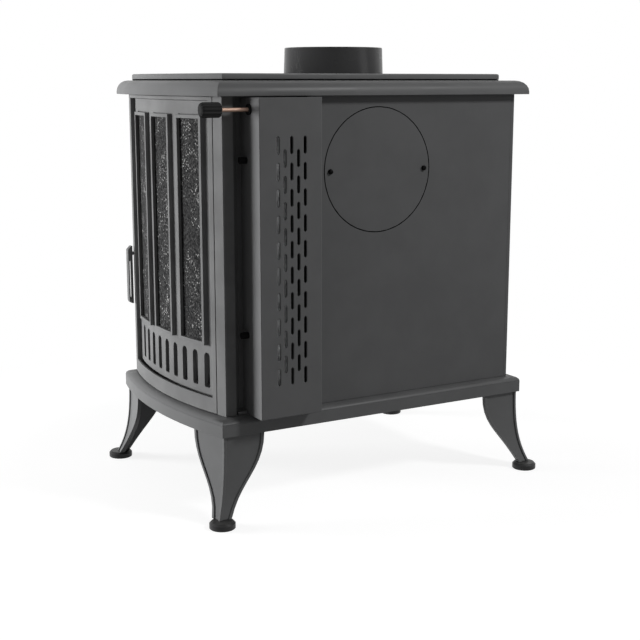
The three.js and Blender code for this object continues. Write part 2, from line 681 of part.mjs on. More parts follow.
/** One long hole with round ends, cut along X. */
function slotCutter(y, z) {
  const half = SLOT_LENGTH / 2 - SLOT_WIDTH / 2;
  const r = SLOT_WIDTH / 2;
  const points = [];
  for (const [end, start] of [[half, 0], [-half, Math.PI]]) {
    for (let i = 0; i <= SLOT_END_STEPS; i += 1) {
      const angle = start + Math.PI * i / SLOT_END_STEPS;
      points.push(vec(y + r * Math.cos(angle), z + end + r * Math.sin(angle)));
    }
  }
  return sideProfile(points, FAIRING_X - SHEET - PAST, FAIRING_X + PAST);
}

/** Slots: every second column is one shorter and stands half a pitch up. */
function fairingSlots() {
  const slots = [];
  for (let column = 0; column < SLOT_COLUMNS; column += 1) {
    const offset = column % 2;
    for (let row = 0; row < SLOT_ROWS - offset; row += 1) {
      const y = SLOT_FIRST_Y + SLOT_PITCH_Y * column;
      const z = SLOT_FIRST_Z + SLOT_PITCH_Z * (row + offset / 2);
      slots.push(slotCutter(y, z));
    }
  }
  return slots;
}

/** The folded sheet channel beside the door; the right one has the control rod's hole. */
function fairing(withRod) {
  const inner = WALL_OUT_X + SEAT_GAP;
  const outline = [
    vec(inner, FAIRING_FRONT_Y), vec(FAIRING_X, FAIRING_FRONT_Y), vec(FAIRING_X, FAIRING_BACK_Y),
    vec(BODY_HALF + SEAT_GAP, FAIRING_BACK_Y), vec(BODY_HALF + SEAT_GAP, FAIRING_BACK_Y - SHEET),
    vec(FAIRING_X - SHEET, FAIRING_BACK_Y - SHEET), vec(FAIRING_X - SHEET, FAIRING_FRONT_Y + SHEET),
    vec(inner, FAIRING_FRONT_Y + SHEET),
  ];
  const channel = prism(outline, BODY_LOW_Z, BODY_HIGH_Z - FAIRING_DROP);
  const holes = FAIRING_BOLT_ZS.map((z) => bar('y', BOLT_RADIUS + HOLE_GAP, FAIRING_FRONT_Y - PAST,
    FAIRING_FRONT_Y + SHEET + PAST, [FAIRING_BOLT_X, z]));
  if (withRod) {
    holes.push(bar('y', BUSH_RADIUS + HOLE_GAP, FAIRING_FRONT_Y - PAST, FAIRING_FRONT_Y + SHEET + PAST,
      [ROD_X, ROD_Z], SHAFT_SIDES));
  }
  return cut(channel, ...fairingSlots(), ...holes);
}

/** A fairing bolt: a tall round head in front, a nut behind the sheet. */
function fairingBolt(z) {
  const seat = FAIRING_FRONT_Y - SEAT_GAP;
  const behind = FAIRING_FRONT_Y + SHEET + SEAT_GAP;
  const place = [FAIRING_BOLT_X, z];
  return join(
    bar('y', FAIRING_BOLT_RADIUS, seat - FAIRING_BOLT_HEIGHT, seat, place, SHAFT_SIDES),
    bar('y', BOLT_RADIUS, seat - PAST, behind + FAIRING_NUT_HEIGHT + PAST, place),
    bar('y', FAIRING_BOLT_RADIUS, behind, behind + FAIRING_NUT_HEIGHT, place, NUT_SIDES),
  );
}

// ---------------------------------------------------------------- air control

const DUCT_X = WALL_OUT_X + 26;
const DUCT_LOW_Z = DECK_Z + 9;
const DUCT_HIGH_Z = TOP_Z - 36;
const SLIDE_FRONT_Y = DUCT_FRONT_Y + 22;
const SLIDE_LENGTH = 38;
const SLIDE_THICK = 3;
const SLIDE_CLEAR = 1; // between the slide and the firebox wall
const PORT_FRONT_Y = DUCT_FRONT_Y + 30;
const PORT_LENGTH = 17;
const PORT_IN_X = WALL_OUT_X + 4;
const PORT_WIDTH = 16;
const ROD_BEYOND = 3; // rod behind the slide's tab
const KNOB_RADIUS = 11;
const KNOB_BACK_Y = FAIRING_FRONT_Y - 47;
const KNOB_RIBS = 12;
const KNOB_RIB_DEPTH = 1.4;
const KNOB_LEVELS = [[0, 0.9], [1.5, 1], [27, 1], [29.8, 0.88], [31, 0.62]]; // [along it, share of radius]
const KNOB_BORE_DEPTH = 18;

/** The air duct: a channel folded from sheet against the firebox wall. */
function airDuct() {
  const inner = WALL_OUT_X + SEAT_GAP;
  const outline = [
    vec(inner, DUCT_FRONT_Y), vec(DUCT_X, DUCT_FRONT_Y),
    vec(DUCT_X, DUCT_BACK_Y), vec(inner, DUCT_BACK_Y),
    vec(inner, DUCT_BACK_Y - SHEET), vec(DUCT_X - SHEET, DUCT_BACK_Y - SHEET),
    vec(DUCT_X - SHEET, DUCT_FRONT_Y + SHEET), vec(inner, DUCT_FRONT_Y + SHEET),
  ];
  return prism(outline, DUCT_LOW_Z, DUCT_HIGH_Z - SHEET - SEAT_GAP);
}

/** The duct's cap, with the port that the slide covers. */
function airDuctCap() {
  const cap = block(WALL_OUT_X + SEAT_GAP, DUCT_X, DUCT_FRONT_Y, DUCT_BACK_Y, DUCT_HIGH_Z - SHEET,
    DUCT_HIGH_Z);
  const port = block(PORT_IN_X, PORT_IN_X + PORT_WIDTH, PORT_FRONT_Y, PORT_FRONT_Y + PORT_LENGTH,
    DUCT_HIGH_Z - 2 * SHEET, DUCT_HIGH_Z + PAST);
  return cut(cap, port);
}

/** The slide that covers the duct's port, with the tab that the rod is fixed to. */
function airSlide() {
  const low = DUCT_HIGH_Z + SEAT_GAP;
  const inner = WALL_OUT_X + SLIDE_CLEAR;
  const tabX = ROD_X + BUSH_RADIUS;
  const plate = block(inner, tabX, SLIDE_FRONT_Y, SLIDE_FRONT_Y + SLIDE_LENGTH, low, low + SLIDE_THICK);
  const tab = block(ROD_X - BUSH_RADIUS, tabX, SLIDE_FRONT_Y, SLIDE_FRONT_Y + SLIDE_THICK, low,
    ROD_Z + BUSH_RADIUS);
  const hole = bar('y', ROD_RADIUS + HOLE_GAP, SLIDE_FRONT_Y - PAST, SLIDE_FRONT_Y + SLIDE_THICK + PAST,
    [ROD_X, ROD_Z], SHAFT_SIDES);
  return cut(join(plate, tab), hole);
}

/** The control rod, from the knob to just behind the slide's tab. */
function airRod() {
  const rear = SLIDE_FRONT_Y + SLIDE_THICK + ROD_BEYOND;
  return bar('y', ROD_RADIUS, KNOB_BACK_Y - KNOB_BORE_DEPTH + SEAT_GAP, rear, [ROD_X, ROD_Z], SHAFT_SIDES);
}

/** The bush that carries the rod in the fairing's front. */
function rodBush() {
  const flangeBack = FAIRING_FRONT_Y - SEAT_GAP;
  const flangeFront = flangeBack - BUSH_FLANGE_THICK;
  const rear = FAIRING_FRONT_Y + SHEET + BUSH_BEYOND;
  const flange = bar('y', BUSH_FLANGE_RADIUS, flangeFront, flangeBack, [ROD_X, ROD_Z], SHAFT_SIDES);
  const sleeve = bar('y', BUSH_RADIUS, flangeFront, rear, [ROD_X, ROD_Z], SHAFT_SIDES);
  const bore = bar('y', ROD_RADIUS + RUN_GAP, flangeFront - PAST, rear + PAST, [ROD_X, ROD_Z],
    SHAFT_SIDES);
  return cut(join(flange, sleeve), bore);
}

/** The ribbed knob, bored from behind for the rod. */
function airKnob() {
  const perRib = 4; // points round one rib and one groove
  const count = KNOB_RIBS * perRib;
  const section = (shrink) => {
    const points = [];
    for (let i = 0; i < count; i += 1) {
      const angle = 2 * Math.PI * i / count;
      const rib = i % perRib < perRib / 2 ? 0 : KNOB_RIB_DEPTH;
      const radius = (KNOB_RADIUS - rib) * shrink;
      points.push(vec(radius * Math.cos(angle), radius * Math.sin(angle)));
    }
    return points;
  };
  const body = loft(KNOB_LEVELS.map(([z, share]) => ({ z, points: section(share) })));
  const laid = body.rotate([90, 0, 0]).translate([ROD_X, KNOB_BACK_Y, ROD_Z]);
  const bore = bar('y', ROD_RADIUS + HOLE_GAP, KNOB_BACK_Y - KNOB_BORE_DEPTH, KNOB_BACK_Y + PAST,
    [ROD_X, ROD_Z], SHAFT_SIDES);
  return cut(laid, bore);
}

// ---------------------------------------------------------------- door leaf

const LEAF_LOW_Z = DECK_Z + LEAF_GAP_Z;
const LEAF_HIGH_Z = TOP_Z - LEAF_GAP_Z;
const LEAF_STEPS = 18; // facets across the leaf's face
const BORDER_LEFT = 20;
const BORDER_RIGHT = 9;
const RAIL_LOW_Z = DECK_Z + 24; // top of the bottom rail
const RAIL_HIGH_Z = TOP_Z - 6; // underside of the top rail
const PANEL_DEPTH = 8; // panel behind the border
const LEAF_SKIN = 6;
const FRAME_DEPTH = 1.5; // window frames stand almost level with the border
const FRAME_WIDTH = 5;
const WINDOW_SIDE_MARGIN = 20.5; // panel beside the right window
const WINDOW_SPACING = 24; // between two frames
const WINDOW_LOW_Z = DECK_Z + 102;
const WINDOW_HIGH_Z = TOP_Z - 28;
const WINDOW_LINE = 1.5; // groove above each frame
const REBATE_MARGIN = 2.5; // rebate beyond the window opening
const FRAME_LIP = 5; // thickness of the frame in front of the rebate
const MESH_THICK = 1.5;
const GLASS_THICK = 4;
const LOUVRE_COUNT = 9;
const LOUVRE_WIDTH = 14;
const LOUVRE_LOW_Z = DECK_Z + 35;
const LOUVRE_HEIGHT = 55;
const LOUVRE_CORNER = 2;
const ARC_STEPS = 6; // facets of a half round
const CHANNEL_LIP = 3; // lip of the rail in front of the dark channel
const CHANNEL_DROP = 7;
const CHANNEL_FLOOR = 1; // metal left behind the channel
const TOP_LINE = 2; // height of the line under the top rail
const WINDOW_COUNT = 3;
const panelLeftX = -doorHalf + BORDER_LEFT;
const panelRightX = SEAM_X - BORDER_RIGHT;
const skinBack = PANEL_DEPTH + LEAF_SKIN;
const windowReach = panelRightX - WINDOW_SIDE_MARGIN; // far edge of the right window
const windowPitch = (windowReach + WINDOW_SPACING / 2) / (WINDOW_COUNT / 2);
const windowWidth = windowPitch - WINDOW_SPACING;
const louvrePitch = windowPitch * WINDOW_COUNT / LOUVRE_COUNT;

/** Part of the bow between two depths, two ends and two heights. */
function bowBand(x0, x1, front, back, z0, z1, steps = BOW_STEPS) {
  const near = bowLine(doorPlan, x0, x1, front, steps);
  const far = bowLine(doorPlan, x0, x1, back, steps).reverse();
  return prism([...near, ...far], z0, z1);
}

/** Middles of the three windows. */
const windowCentres = [-1, 0, 1].map((place) => place * windowPitch);

/** One band for each window: its edge drawn in by inset, between two depths. */
function windowBands(inset, front, back) {
  const half = windowWidth / 2 - inset;
  return windowCentres.map((x) => bowBand(x - half, x + half, front, back, WINDOW_LOW_Z + inset,
    WINDOW_HIGH_Z - inset, WINDOW_STEPS));
}

/** A louvre slot with an arched top, cut along Y. */
function louvreCutter(x) {
  const half = LOUVRE_WIDTH / 2;
  const spring = LOUVRE_LOW_Z + LOUVRE_HEIGHT - half;
  const points = [
    vec(x - half, LOUVRE_LOW_Z + LOUVRE_CORNER), vec(x - half + LOUVRE_CORNER, LOUVRE_LOW_Z),
    vec(x + half - LOUVRE_CORNER, LOUVRE_LOW_Z), vec(x + half, LOUVRE_LOW_Z + LOUVRE_CORNER),
  ];
  for (let i = 0; i <= ARC_STEPS; i += 1) {
    const angle = Math.PI * i / ARC_STEPS;
    points.push(vec(x + half * Math.cos(angle), spring + half * Math.sin(angle)));
  }
  return frontProfile(points, bowY(doorPlan, 0) - PAST, LEAF_BACK_Y - PAST);
}

const HANDLE_X = -doorHalf + 6.7;
const SPINDLE_Z = DECK_Z + 207;
const SPINDLE_RADIUS = 3;
const SPINDLE_NECK = 2.2;
const SPINDLE_BEYOND = 1; // neck behind the cam
const CAM_RADIUS = 6.5;
const CAM_FLAT = 4.2;
const CAM_THICK = 4.8;
const CAM_SETBACK = 4.1; // behind the leaf's back
const CAM_SIDES = 24;
const CAM_FRONT_Y = LEAF_BACK_Y + CAM_SETBACK;
const HANDLE_WIDTH = 9;
const HANDLE_LOW_Z = SPINDLE_Z - 86;
const HANDLE_HIGH_Z = SPINDLE_Z + 13;
const HANDLE_DEPTH = 8; // from its back to its outer bar's face
const HANDLE_OUTER_BAR = 2.2;
const HANDLE_INNER_BAR = 1.6;
const SPINDLE_IN_HANDLE = 5;
const HANDLE_GAP = 0.8;
const HANDLE_SLOT_LOW = SPINDLE_Z - 77;
const HANDLE_SLOT_HIGH = SPINDLE_Z - 12;
const HANDLE_BEND = 7;
const HANDLE_SHOULDER = [6, 6]; // bevel at the handle's top, across and down

/** The door leaf: a bow-fronted casting with windows, louvres and a hollow back. */
function doorLeaf() {
  const outline = [
    ...bowLine(doorPlan, -doorHalf, SEAM_X, 0, LEAF_STEPS),
    vec(SEAM_X, pins.y), vec(SEAM_X, LEAF_BACK_Y), vec(-doorHalf, LEAF_BACK_Y),
  ];
  const blank = prism(outline, LEAF_LOW_Z, LEAF_HIGH_Z);
  const end = block(pins.x, SEAM_X + PAST, CORNER_Y - BODY_BOW, LEAF_BACK_Y + PAST,
    LEAF_LOW_Z - PAST, LEAF_HIGH_Z + PAST);
  const knuckle = bar('z', leafEndRadius(), LEAF_LOW_Z - 2 * PAST, LEAF_HIGH_Z + 2 * PAST,
    [pins.x, pins.y], DISC_SIDES);
  const squared = cut(blank, cut(end, knuckle));

  const front = -PANEL_DEPTH;
  const panelRecess = bowBand(panelLeftX, panelRightX, front, PANEL_DEPTH, RAIL_LOW_Z, RAIL_HIGH_Z);
  const channelBack = skinBack - CHANNEL_FLOOR;
  const channel = bowBand(panelLeftX, panelRightX, CHANNEL_LIP, channelBack, RAIL_LOW_Z - CHANNEL_DROP,
    RAIL_LOW_Z + PAST);
  const topLine = bowBand(panelLeftX, panelRightX, CHANNEL_LIP, channelBack, RAIL_HIGH_Z - PAST,
    RAIL_HIGH_Z + TOP_LINE);
  const seal = GASKET_WIDTH + GASKET_LAND;
  const hollow = cut(
    block(GASKET_LEFT_X + seal, GASKET_RIGHT_X - seal, CORNER_Y - BODY_BOW, LEAF_BACK_Y + PAST,
      GASKET_LOW_Z + seal, GASKET_HIGH_Z - seal),
    bowBand(-doorHalf, SEAM_X, front, skinBack, GASKET_LOW_Z, GASKET_HIGH_Z),
  );
  const frames = windowBands(0, FRAME_DEPTH, PANEL_DEPTH + PAST);
  const openings = windowBands(FRAME_WIDTH, front, skinBack + PAST);
  const rebates = windowBands(FRAME_WIDTH - REBATE_MARGIN, FRAME_DEPTH + FRAME_LIP, skinBack + PAST);
  const lines = windowCentres.map((x) => bowBand(x - windowWidth / 2, x + windowWidth / 2, front,
    PANEL_DEPTH + WINDOW_LINE, WINDOW_HIGH_Z, WINDOW_HIGH_Z + WINDOW_LINE, WINDOW_STEPS));
  const louvres = [];
  for (let i = 0; i < LOUVRE_COUNT; i += 1) {
    louvres.push(louvreCutter(louvrePitch * (i - (LOUVRE_COUNT - 1) / 2)));
  }
  const pinBore = PIN_RADIUS + RUN_GAP;
  const lowBore = LEAF_LOW_Z + PIN_IN_LEAF + SEAT_GAP;
  const highBore = LEAF_HIGH_Z - PIN_IN_LEAF - SEAT_GAP;
  const bores = [
    bar('z', pinBore, LEAF_LOW_Z - PAST, lowBore, [pins.x, pins.y], SHAFT_SIDES),
    bar('z', pinBore, highBore, LEAF_HIGH_Z + PAST, [pins.x, pins.y], SHAFT_SIDES),
    bar('y', SPINDLE_RADIUS + RUN_GAP, bowY(doorPlan, 0), LEAF_BACK_Y + PAST, [HANDLE_X, SPINDLE_Z],
      SHAFT_SIDES),
  ];
  const shell = cut(squared, panelRecess, channel, topLine, hollow, ...lines);
  return cut(join(shell, ...frames), ...rebates, ...openings, ...louvres, ...bores, ...barScrewHoles(),
    gasketGroove());
}

const BAR_HEIGHT = 16;
const BAR_THICK = 3;
const BAR_INSET = 0.5; // the bar's end inside the outer frames
const BAR_LAP = 3; // the bar past the window's end
const BAR_SCREW_XS = [-windowPitch / 2, windowPitch / 2];
const BAR_SCREW_DEPTH = 4; // into the leaf's skin
const barFront = skinBack + SEAT_GAP;

/** Heights of the two bars that hold the glass. */
const barLevels = [WINDOW_LOW_Z - BAR_LAP, WINDOW_HIGH_Z + BAR_LAP - BAR_HEIGHT];

/** A bowed bar across the back of the leaf that holds the glass in. */
function glassBar(level) {
  const reach = windowReach - BAR_INSET;
  const strip = bowBand(-reach, reach, barFront, barFront + BAR_THICK, level, level + BAR_HEIGHT);
  return cut(strip, ...barScrewHoles());
}

/** Screw holes through the bars and into the leaf's skin. */
function barScrewHoles() {
  return barScrewPlaces().map(([x, z]) => {
    const face = bowY(doorPlan, x, skinBack);
    return bar('y', SCREW_RADIUS + HOLE_GAP, face - BAR_SCREW_DEPTH, face + BAR_THICK + 2 * PAST, [x, z]);
  });
}

/** Where the bars' screws stand, as (x, z). */
function barScrewPlaces() {
  return barLevels.flatMap((level) => BAR_SCREW_XS.map((x) => [x, level + BAR_HEIGHT / 2]));
}

/** A window's screen or glass: a bowed sheet in the rebate. */
function windowSheet(x, front, thickness) {
  const half = windowWidth / 2 - FRAME_WIDTH + REBATE_MARGIN - SEAT_GAP;
  const low = WINDOW_LOW_Z + FRAME_WIDTH - REBATE_MARGIN + SEAT_GAP;
  const high = WINDOW_HIGH_Z - FRAME_WIDTH + REBATE_MARGIN - SEAT_GAP;
  return bowBand(x - half, x + half, front, front + thickness, low, high, WINDOW_STEPS);
}

const meshFront = FRAME_DEPTH + FRAME_LIP + SEAT_GAP;
const glassFront = meshFront + MESH_THICK + SEAT_GAP;

const GASKET_WIDTH = 8;
const GASKET_IN_LEAF = 3;
const GASKET_LAND = 2; // leaf between the seal's groove and its hollow
const GASKET_LEFT_X = -(WALL_OUT_X - 3);
const GASKET_RIGHT_X = WALL_IN_X - 18;
const GASKET_LOW_Z = DECK_Z + 11;
const GASKET_HIGH_Z = TOP_Z - 5;

/** A rectangular ring on the back of the leaf, grown by margin on its sides. */
function gasketRing(y0, y1, margin) {
  const outer = block(GASKET_LEFT_X - margin, GASKET_RIGHT_X + margin, y0, y1,
    GASKET_LOW_Z - margin, GASKET_HIGH_Z + margin);
  const inset = GASKET_WIDTH + margin;
  const inner = block(GASKET_LEFT_X + inset, GASKET_RIGHT_X - inset, y0 - PAST, y1 + PAST,
    GASKET_LOW_Z + inset, GASKET_HIGH_Z - inset);
  return cut(outer, inner);
}

/** The rope seal between the leaf and the front plate. */
function doorGasket() {
  const y0 = LEAF_BACK_Y - GASKET_IN_LEAF;
  return gasketRing(y0 + SEAT_GAP, PLATE_FRONT_Y - SEAT_GAP, 0);
}

/** The groove for the seal in the leaf's back. */
function gasketGroove() {
  return gasketRing(LEAF_BACK_Y - GASKET_IN_LEAF, LEAF_BACK_Y + PAST, SEAT_GAP);
}

/** A hinge pin, upper or lower. */
function hingePin(upper) {
  const z0 = upper ? LEAF_HIGH_Z - PIN_IN_LEAF : DECK_Z - CASTING_WALL + SEAT_GAP;
  const z1 = upper ? TOP_Z + PIN_IN_CASTING - SEAT_GAP : LEAF_LOW_Z + PIN_IN_LEAF;
  return bar('z', PIN_RADIUS, z0, z1, [pins.x, pins.y], SHAFT_SIDES);
}

// ---------------------------------------------------------------- handle and latch

// The handle's back stands clear of the bow as the handle turns.
const handleTopReach = (HANDLE_WIDTH / 2 + HANDLE_HIGH_Z - SPINDLE_Z) * Math.SQRT1_2; // turned by 45 degrees
const handleBackY = bowY(doorPlan, HANDLE_X + handleTopReach) - HANDLE_GAP;

/** The hanging loop handle, seen from the side, thickened along X. */
function doorHandle() {
  const outY = handleBackY - HANDLE_DEPTH;
  const [across, down] = HANDLE_SHOULDER;
  const points = [
    vec(handleBackY, HANDLE_LOW_Z), vec(handleBackY, HANDLE_HIGH_Z),
    vec(outY + across, HANDLE_HIGH_Z), vec(outY, HANDLE_HIGH_Z - down),
  ];
  for (let i = 0; i <= ARC_STEPS; i += 1) {
    const angle = Math.PI + Math.PI / 2 * i / ARC_STEPS;
    points.push(vec(
      outY + HANDLE_BEND * (1 + Math.cos(angle)), HANDLE_LOW_Z + HANDLE_BEND * (1 + Math.sin(angle)),
    ));
  }
  const slab = sideProfile(points, HANDLE_X - HANDLE_WIDTH / 2, HANDLE_X + HANDLE_WIDTH / 2);
  const slotHalf = (HANDLE_DEPTH - HANDLE_OUTER_BAR - HANDLE_INNER_BAR) / 2;
  const middle = outY + HANDLE_OUTER_BAR + slotHalf;
  const slotPoints = [];
  for (const [z, start] of [[HANDLE_SLOT_HIGH - slotHalf, 0], [HANDLE_SLOT_LOW + slotHalf, Math.PI]]) {
    for (let i = 0; i <= ARC_STEPS; i += 1) {
      const angle = start + Math.PI * i / ARC_STEPS;
      slotPoints.push(vec(middle + slotHalf * Math.cos(angle), z + slotHalf * Math.sin(angle)));
    }
  }
  const slot = sideProfile(slotPoints, HANDLE_X - HANDLE_WIDTH, HANDLE_X + HANDLE_WIDTH);
  const bore = bar('y', SPINDLE_RADIUS + HOLE_GAP, handleBackY - SPINDLE_IN_HANDLE - SEAT_GAP,
    handleBackY + PAST, [HANDLE_X, SPINDLE_Z], SHAFT_SIDES);
  return cut(slab, slot, bore);
}

/** The spindle from the handle through the leaf to the cam. */
function handleSpindle() {
  const shoulder = CAM_FRONT_Y - SEAT_GAP;
  const place = [HANDLE_X, SPINDLE_Z];
  const shaft = bar('y', SPINDLE_RADIUS, handleBackY - SPINDLE_IN_HANDLE, shoulder, place, SHAFT_SIDES);
  const neckEnd = CAM_FRONT_Y + CAM_THICK + SPINDLE_BEYOND;
  const neck = bar('y', SPINDLE_NECK, shoulder - PAST, neckEnd, place, SHAFT_SIDES);
  return join(shaft, neck);
}

/** The latch cam: a disc with a flat that faces the keeper when released. */
function latchCam() {
  const place = [HANDLE_X, SPINDLE_Z];
  const rear = CAM_FRONT_Y + CAM_THICK;
  const half = CAM_RADIUS + PAST;
  const disc = bar('y', CAM_RADIUS, CAM_FRONT_Y, rear, place, CAM_SIDES);
  const flat = block(HANDLE_X - half, HANDLE_X + half, CAM_FRONT_Y - PAST, rear + PAST,
    SPINDLE_Z + CAM_FLAT, SPINDLE_Z + half);
  const bore = bar('y', SPINDLE_NECK + HOLE_GAP, CAM_FRONT_Y - PAST, rear + PAST, place, SHAFT_SIDES);
  return cut(disc, flat, bore);
}

const KEEPER_HEIGHT = 12;
const KEEPER_CLEAR = 0.6; // before and behind the tongue
const KEEPER_THICK = 3;

/** The keeper: a tongue in front of the cam, on a leg against the firebox wall. */
function latchKeeper() {
  const tongueLow = SPINDLE_Z + CAM_FLAT + 2 * SEAT_GAP;
  const high = tongueLow + KEEPER_HEIGHT;
  const wallX = -WALL_OUT_X - SEAT_GAP;
  const front = LEAF_BACK_Y + KEEPER_CLEAR;
  const tongue = block(HANDLE_X - CAM_RADIUS, wallX, front, CAM_FRONT_Y - KEEPER_CLEAR, tongueLow, high);
  const leg = block(wallX - KEEPER_THICK, wallX, front, FAIRING_FRONT_Y - PAST,
    SPINDLE_Z + CAM_RADIUS + PAST, high);
  return join(tongue, leg);
}

// ---------------------------------------------------------------- firebox contents

const GRATE_Z = DECK_Z + 101;
const GRATE_THICK = 10;
const GRATE_SLOTS = 8;
const GRATE_SLOT_WIDTH = 12;
const GRATE_SLOT_MARGINS = [20, 50, 30]; // beside, before and behind the slots
const RAIL_SIZE = 12;
const LOOSE_GAP = 1; // round the grate and the baffle
const BRICK_THICK = 25;
const BRICK_HIGH_Z = TOP_Z - 116;
const BRICK_SETBACK = 10; // side bricks behind the log retainer's front
const BAFFLE_THICK = 6;
const BAFFLE_FRONT_Y = PLATE_BACK_Y + 87;
const RETAINER_HEIGHT = 42;
const RETAINER_THICK = 6;
const RETAINER_BAYS = 7;
const RETAINER_STILE = 5;
const RETAINER_RAILS = [10, 8]; // below and above the gaps
const RETAINER_CLEAR = 3; // beside the bricks
const PAN_WALL = 2;
const PAN_HALF = MOUTH_RIGHT_X - 4; // passes through the mouth
const PAN_HEIGHT = 60; // lifts over the mouth's sill under the grate
const INNER_CLEAR = 8; // behind the front plate
const INNER_FRONT_Y = PLATE_BACK_Y + INNER_CLEAR;

const grateHalf = WALL_IN_X - LOOSE_GAP;
const grateFrontY = WALL_START_Y + LOOSE_GAP;
const grateBackY = WALL_END_Y - LOOSE_GAP;
const brickLowZ = GRATE_Z + GRATE_THICK + SEAT_GAP;
const brickInX = WALL_IN_X - SEAT_GAP - BRICK_THICK;
const brickBackY = WALL_END_Y - SEAT_GAP - BRICK_THICK;

/** The slotted grate on its rails. */
function grate() {
  const plate = block(-grateHalf, grateHalf, grateFrontY, grateBackY, GRATE_Z, GRATE_Z + GRATE_THICK);
  const slots = [];
  const [beside, before, behind] = GRATE_SLOT_MARGINS;
  const span = 2 * (brickInX - beside);
  for (let i = 0; i < GRATE_SLOTS; i += 1) {
    const x = -span / 2 + span * (i + 0.5) / GRATE_SLOTS;
    slots.push(block(x - GRATE_SLOT_WIDTH / 2, x + GRATE_SLOT_WIDTH / 2, grateFrontY + before,
      brickBackY - behind, GRATE_Z - PAST, GRATE_Z + GRATE_THICK + PAST));
  }
  return cut(plate, ...slots);
}

/** The rail on the right firebox wall that carries the grate. */
function grateRail() {
  const high = GRATE_Z - SEAT_GAP;
  const outer = WALL_IN_X - SEAT_GAP;
  return block(outer - RAIL_SIZE, outer, INNER_FRONT_Y, grateBackY, high - RAIL_SIZE, high);
}

/** A side brick; mirrored for the left. */
function sideBrick() {
  return block(brickInX, WALL_IN_X - SEAT_GAP, INNER_FRONT_Y + BRICK_SETBACK, WALL_END_Y - SEAT_GAP,
    brickLowZ, BRICK_HIGH_Z);
}

/** The back brick between the side bricks. */
function backBrick() {
  const half = brickInX - SEAT_GAP;
  return block(-half, half, brickBackY, WALL_END_Y - SEAT_GAP, brickLowZ, BRICK_HIGH_Z);
}

/** The baffle that lies on the bricks under the flue. */
function bafflePlate() {
  const low = BRICK_HIGH_Z + SEAT_GAP;
  return block(-grateHalf, grateHalf, BAFFLE_FRONT_Y, grateBackY, low, low + BAFFLE_THICK);
}

/** The low fence that keeps logs off the glass. */
function logRetainer() {
  const half = brickInX - RETAINER_CLEAR;
  const low = brickLowZ;
  const high = low + RETAINER_HEIGHT;
  const y0 = INNER_FRONT_Y;
  const y1 = y0 + RETAINER_THICK;
  const fence = block(-half, half, y0, y1, low, high);
  const gaps = [];
  const bay = 2 * half / RETAINER_BAYS;
  const [below, above] = RETAINER_RAILS;
  for (let i = 0; i < RETAINER_BAYS; i += 1) {
    const x = -half + bay * (i + 0.5);
    const open = bay / 2 - RETAINER_STILE;
    gaps.push(block(x - open, x + open, y0 - PAST, y1 + PAST, low + below, high - above));
  }
  return cut(fence, ...gaps);
}

/** The ash pan under the grate. */
function ashPan() {
  const low = FLOOR_Z + SEAT_GAP;
  const outer = block(-PAN_HALF, PAN_HALF, INNER_FRONT_Y, brickBackY, low, low + PAN_HEIGHT);
  const inside = block(-PAN_HALF + PAN_WALL, PAN_HALF - PAN_WALL, INNER_FRONT_Y + PAN_WALL,
    brickBackY - PAN_WALL, low + PAN_WALL, low + PAN_HEIGHT + PAST);
  return cut(outer, inside);
}

// ---------------------------------------------------------------- assembly

const FINISHES = {
  casting: { color: 0x3d4042, roughness: 0.55, metalness: 0.35 },
  sheet: { color: 0x34373a, roughness: 0.5, metalness: 0.4 },
  black: { color: 0x17181a, roughness: 0.6, metalness: 0.1 },
  steel: { color: 0x8a8c8e, roughness: 0.4, metalness: 0.9 },
  copper: { color: 0x9a6b4e, roughness: 0.35, metalness: 0.9 },
  screen: { color: 0x2a2b2c, roughness: 0.6, metalness: 0.6 },
  glass: { color: 0x22282a, roughness: 0.1, metalness: 0 },
  rope: { color: 0x55524c, roughness: 0.95, metalness: 0 },
  brick: { color: 0xb9a88c, roughness: 0.95, metalness: 0 },
};

const stove = new THREE.Group();

/** Adds a named piece to the stove. */
function piece(name, body, finish) {
  const mesh = body.getMesh();
  const geometry = new THREE.BufferGeometry();
  geometry.setAttribute('position', new THREE.Float32BufferAttribute(mesh.vertProperties, 3));
  geometry.setIndex(new THREE.Uint32BufferAttribute(mesh.triVerts, 1));
  const flat = geometry.toNonIndexed();
  flat.computeVertexNormals();
  const item = new THREE.Mesh(flat, new THREE.MeshStandardMaterial(FINISHES[finish]));
  item.name = name;
  stove.add(item);
}

piece('base_frame', baseFrame(), 'casting');
piece('deck_plate', deckPlate(), 'casting');
piece('bottom_plate', bottomPlate(), 'casting');
for (const [corner, sx, sy] of CORNERS) {
  piece(`leg_${corner}`, cabrioleLeg(sx, sy), 'casting');
  piece(`foot_pad_${corner}`, footPad(sx, sy), 'black');
}
piece('top_plate', topPlate(), 'casting');
piece('raised_top_plate', raisedTopPlate(), 'casting');
piece('flue_collar', flueCollar(), 'casting');
piece('firebox_wall_right', fireboxWall(true), 'casting');
piece('firebox_wall_left', mirrored(fireboxWall(false)), 'casting');
piece('firebox_front_plate', fireboxFrontPlate(), 'casting');
piece('side_panel_right', sidePanel(), 'casting');
piece('side_panel_left', mirrored(sidePanel()), 'casting');
piece('side_cover_right', sideCover(), 'casting');
piece('side_cover_left', mirrored(sideCover()), 'casting');
piece('back_panel', backPanel(), 'casting');
piece('front_post_right', frontPost(), 'casting');
piece('fairing_right', fairing(true), 'sheet');
piece('fairing_left', mirrored(fairing(false)), 'sheet');
['lower', 'upper'].forEach((place, i) => {
  piece(`fairing_bolt_right_${place}`, fairingBolt(FAIRING_BOLT_ZS[i]), 'black');
  piece(`fairing_bolt_left_${place}`, mirrored(fairingBolt(FAIRING_BOLT_ZS[i])), 'black');
});
piece('air_duct', airDuct(), 'steel');
piece('air_duct_cap', airDuctCap(), 'steel');
piece('air_slide', airSlide(), 'steel');
piece('air_rod', airRod(), 'copper');
piece('air_knob', airKnob(), 'black');
piece('rod_bush', rodBush(), 'black');
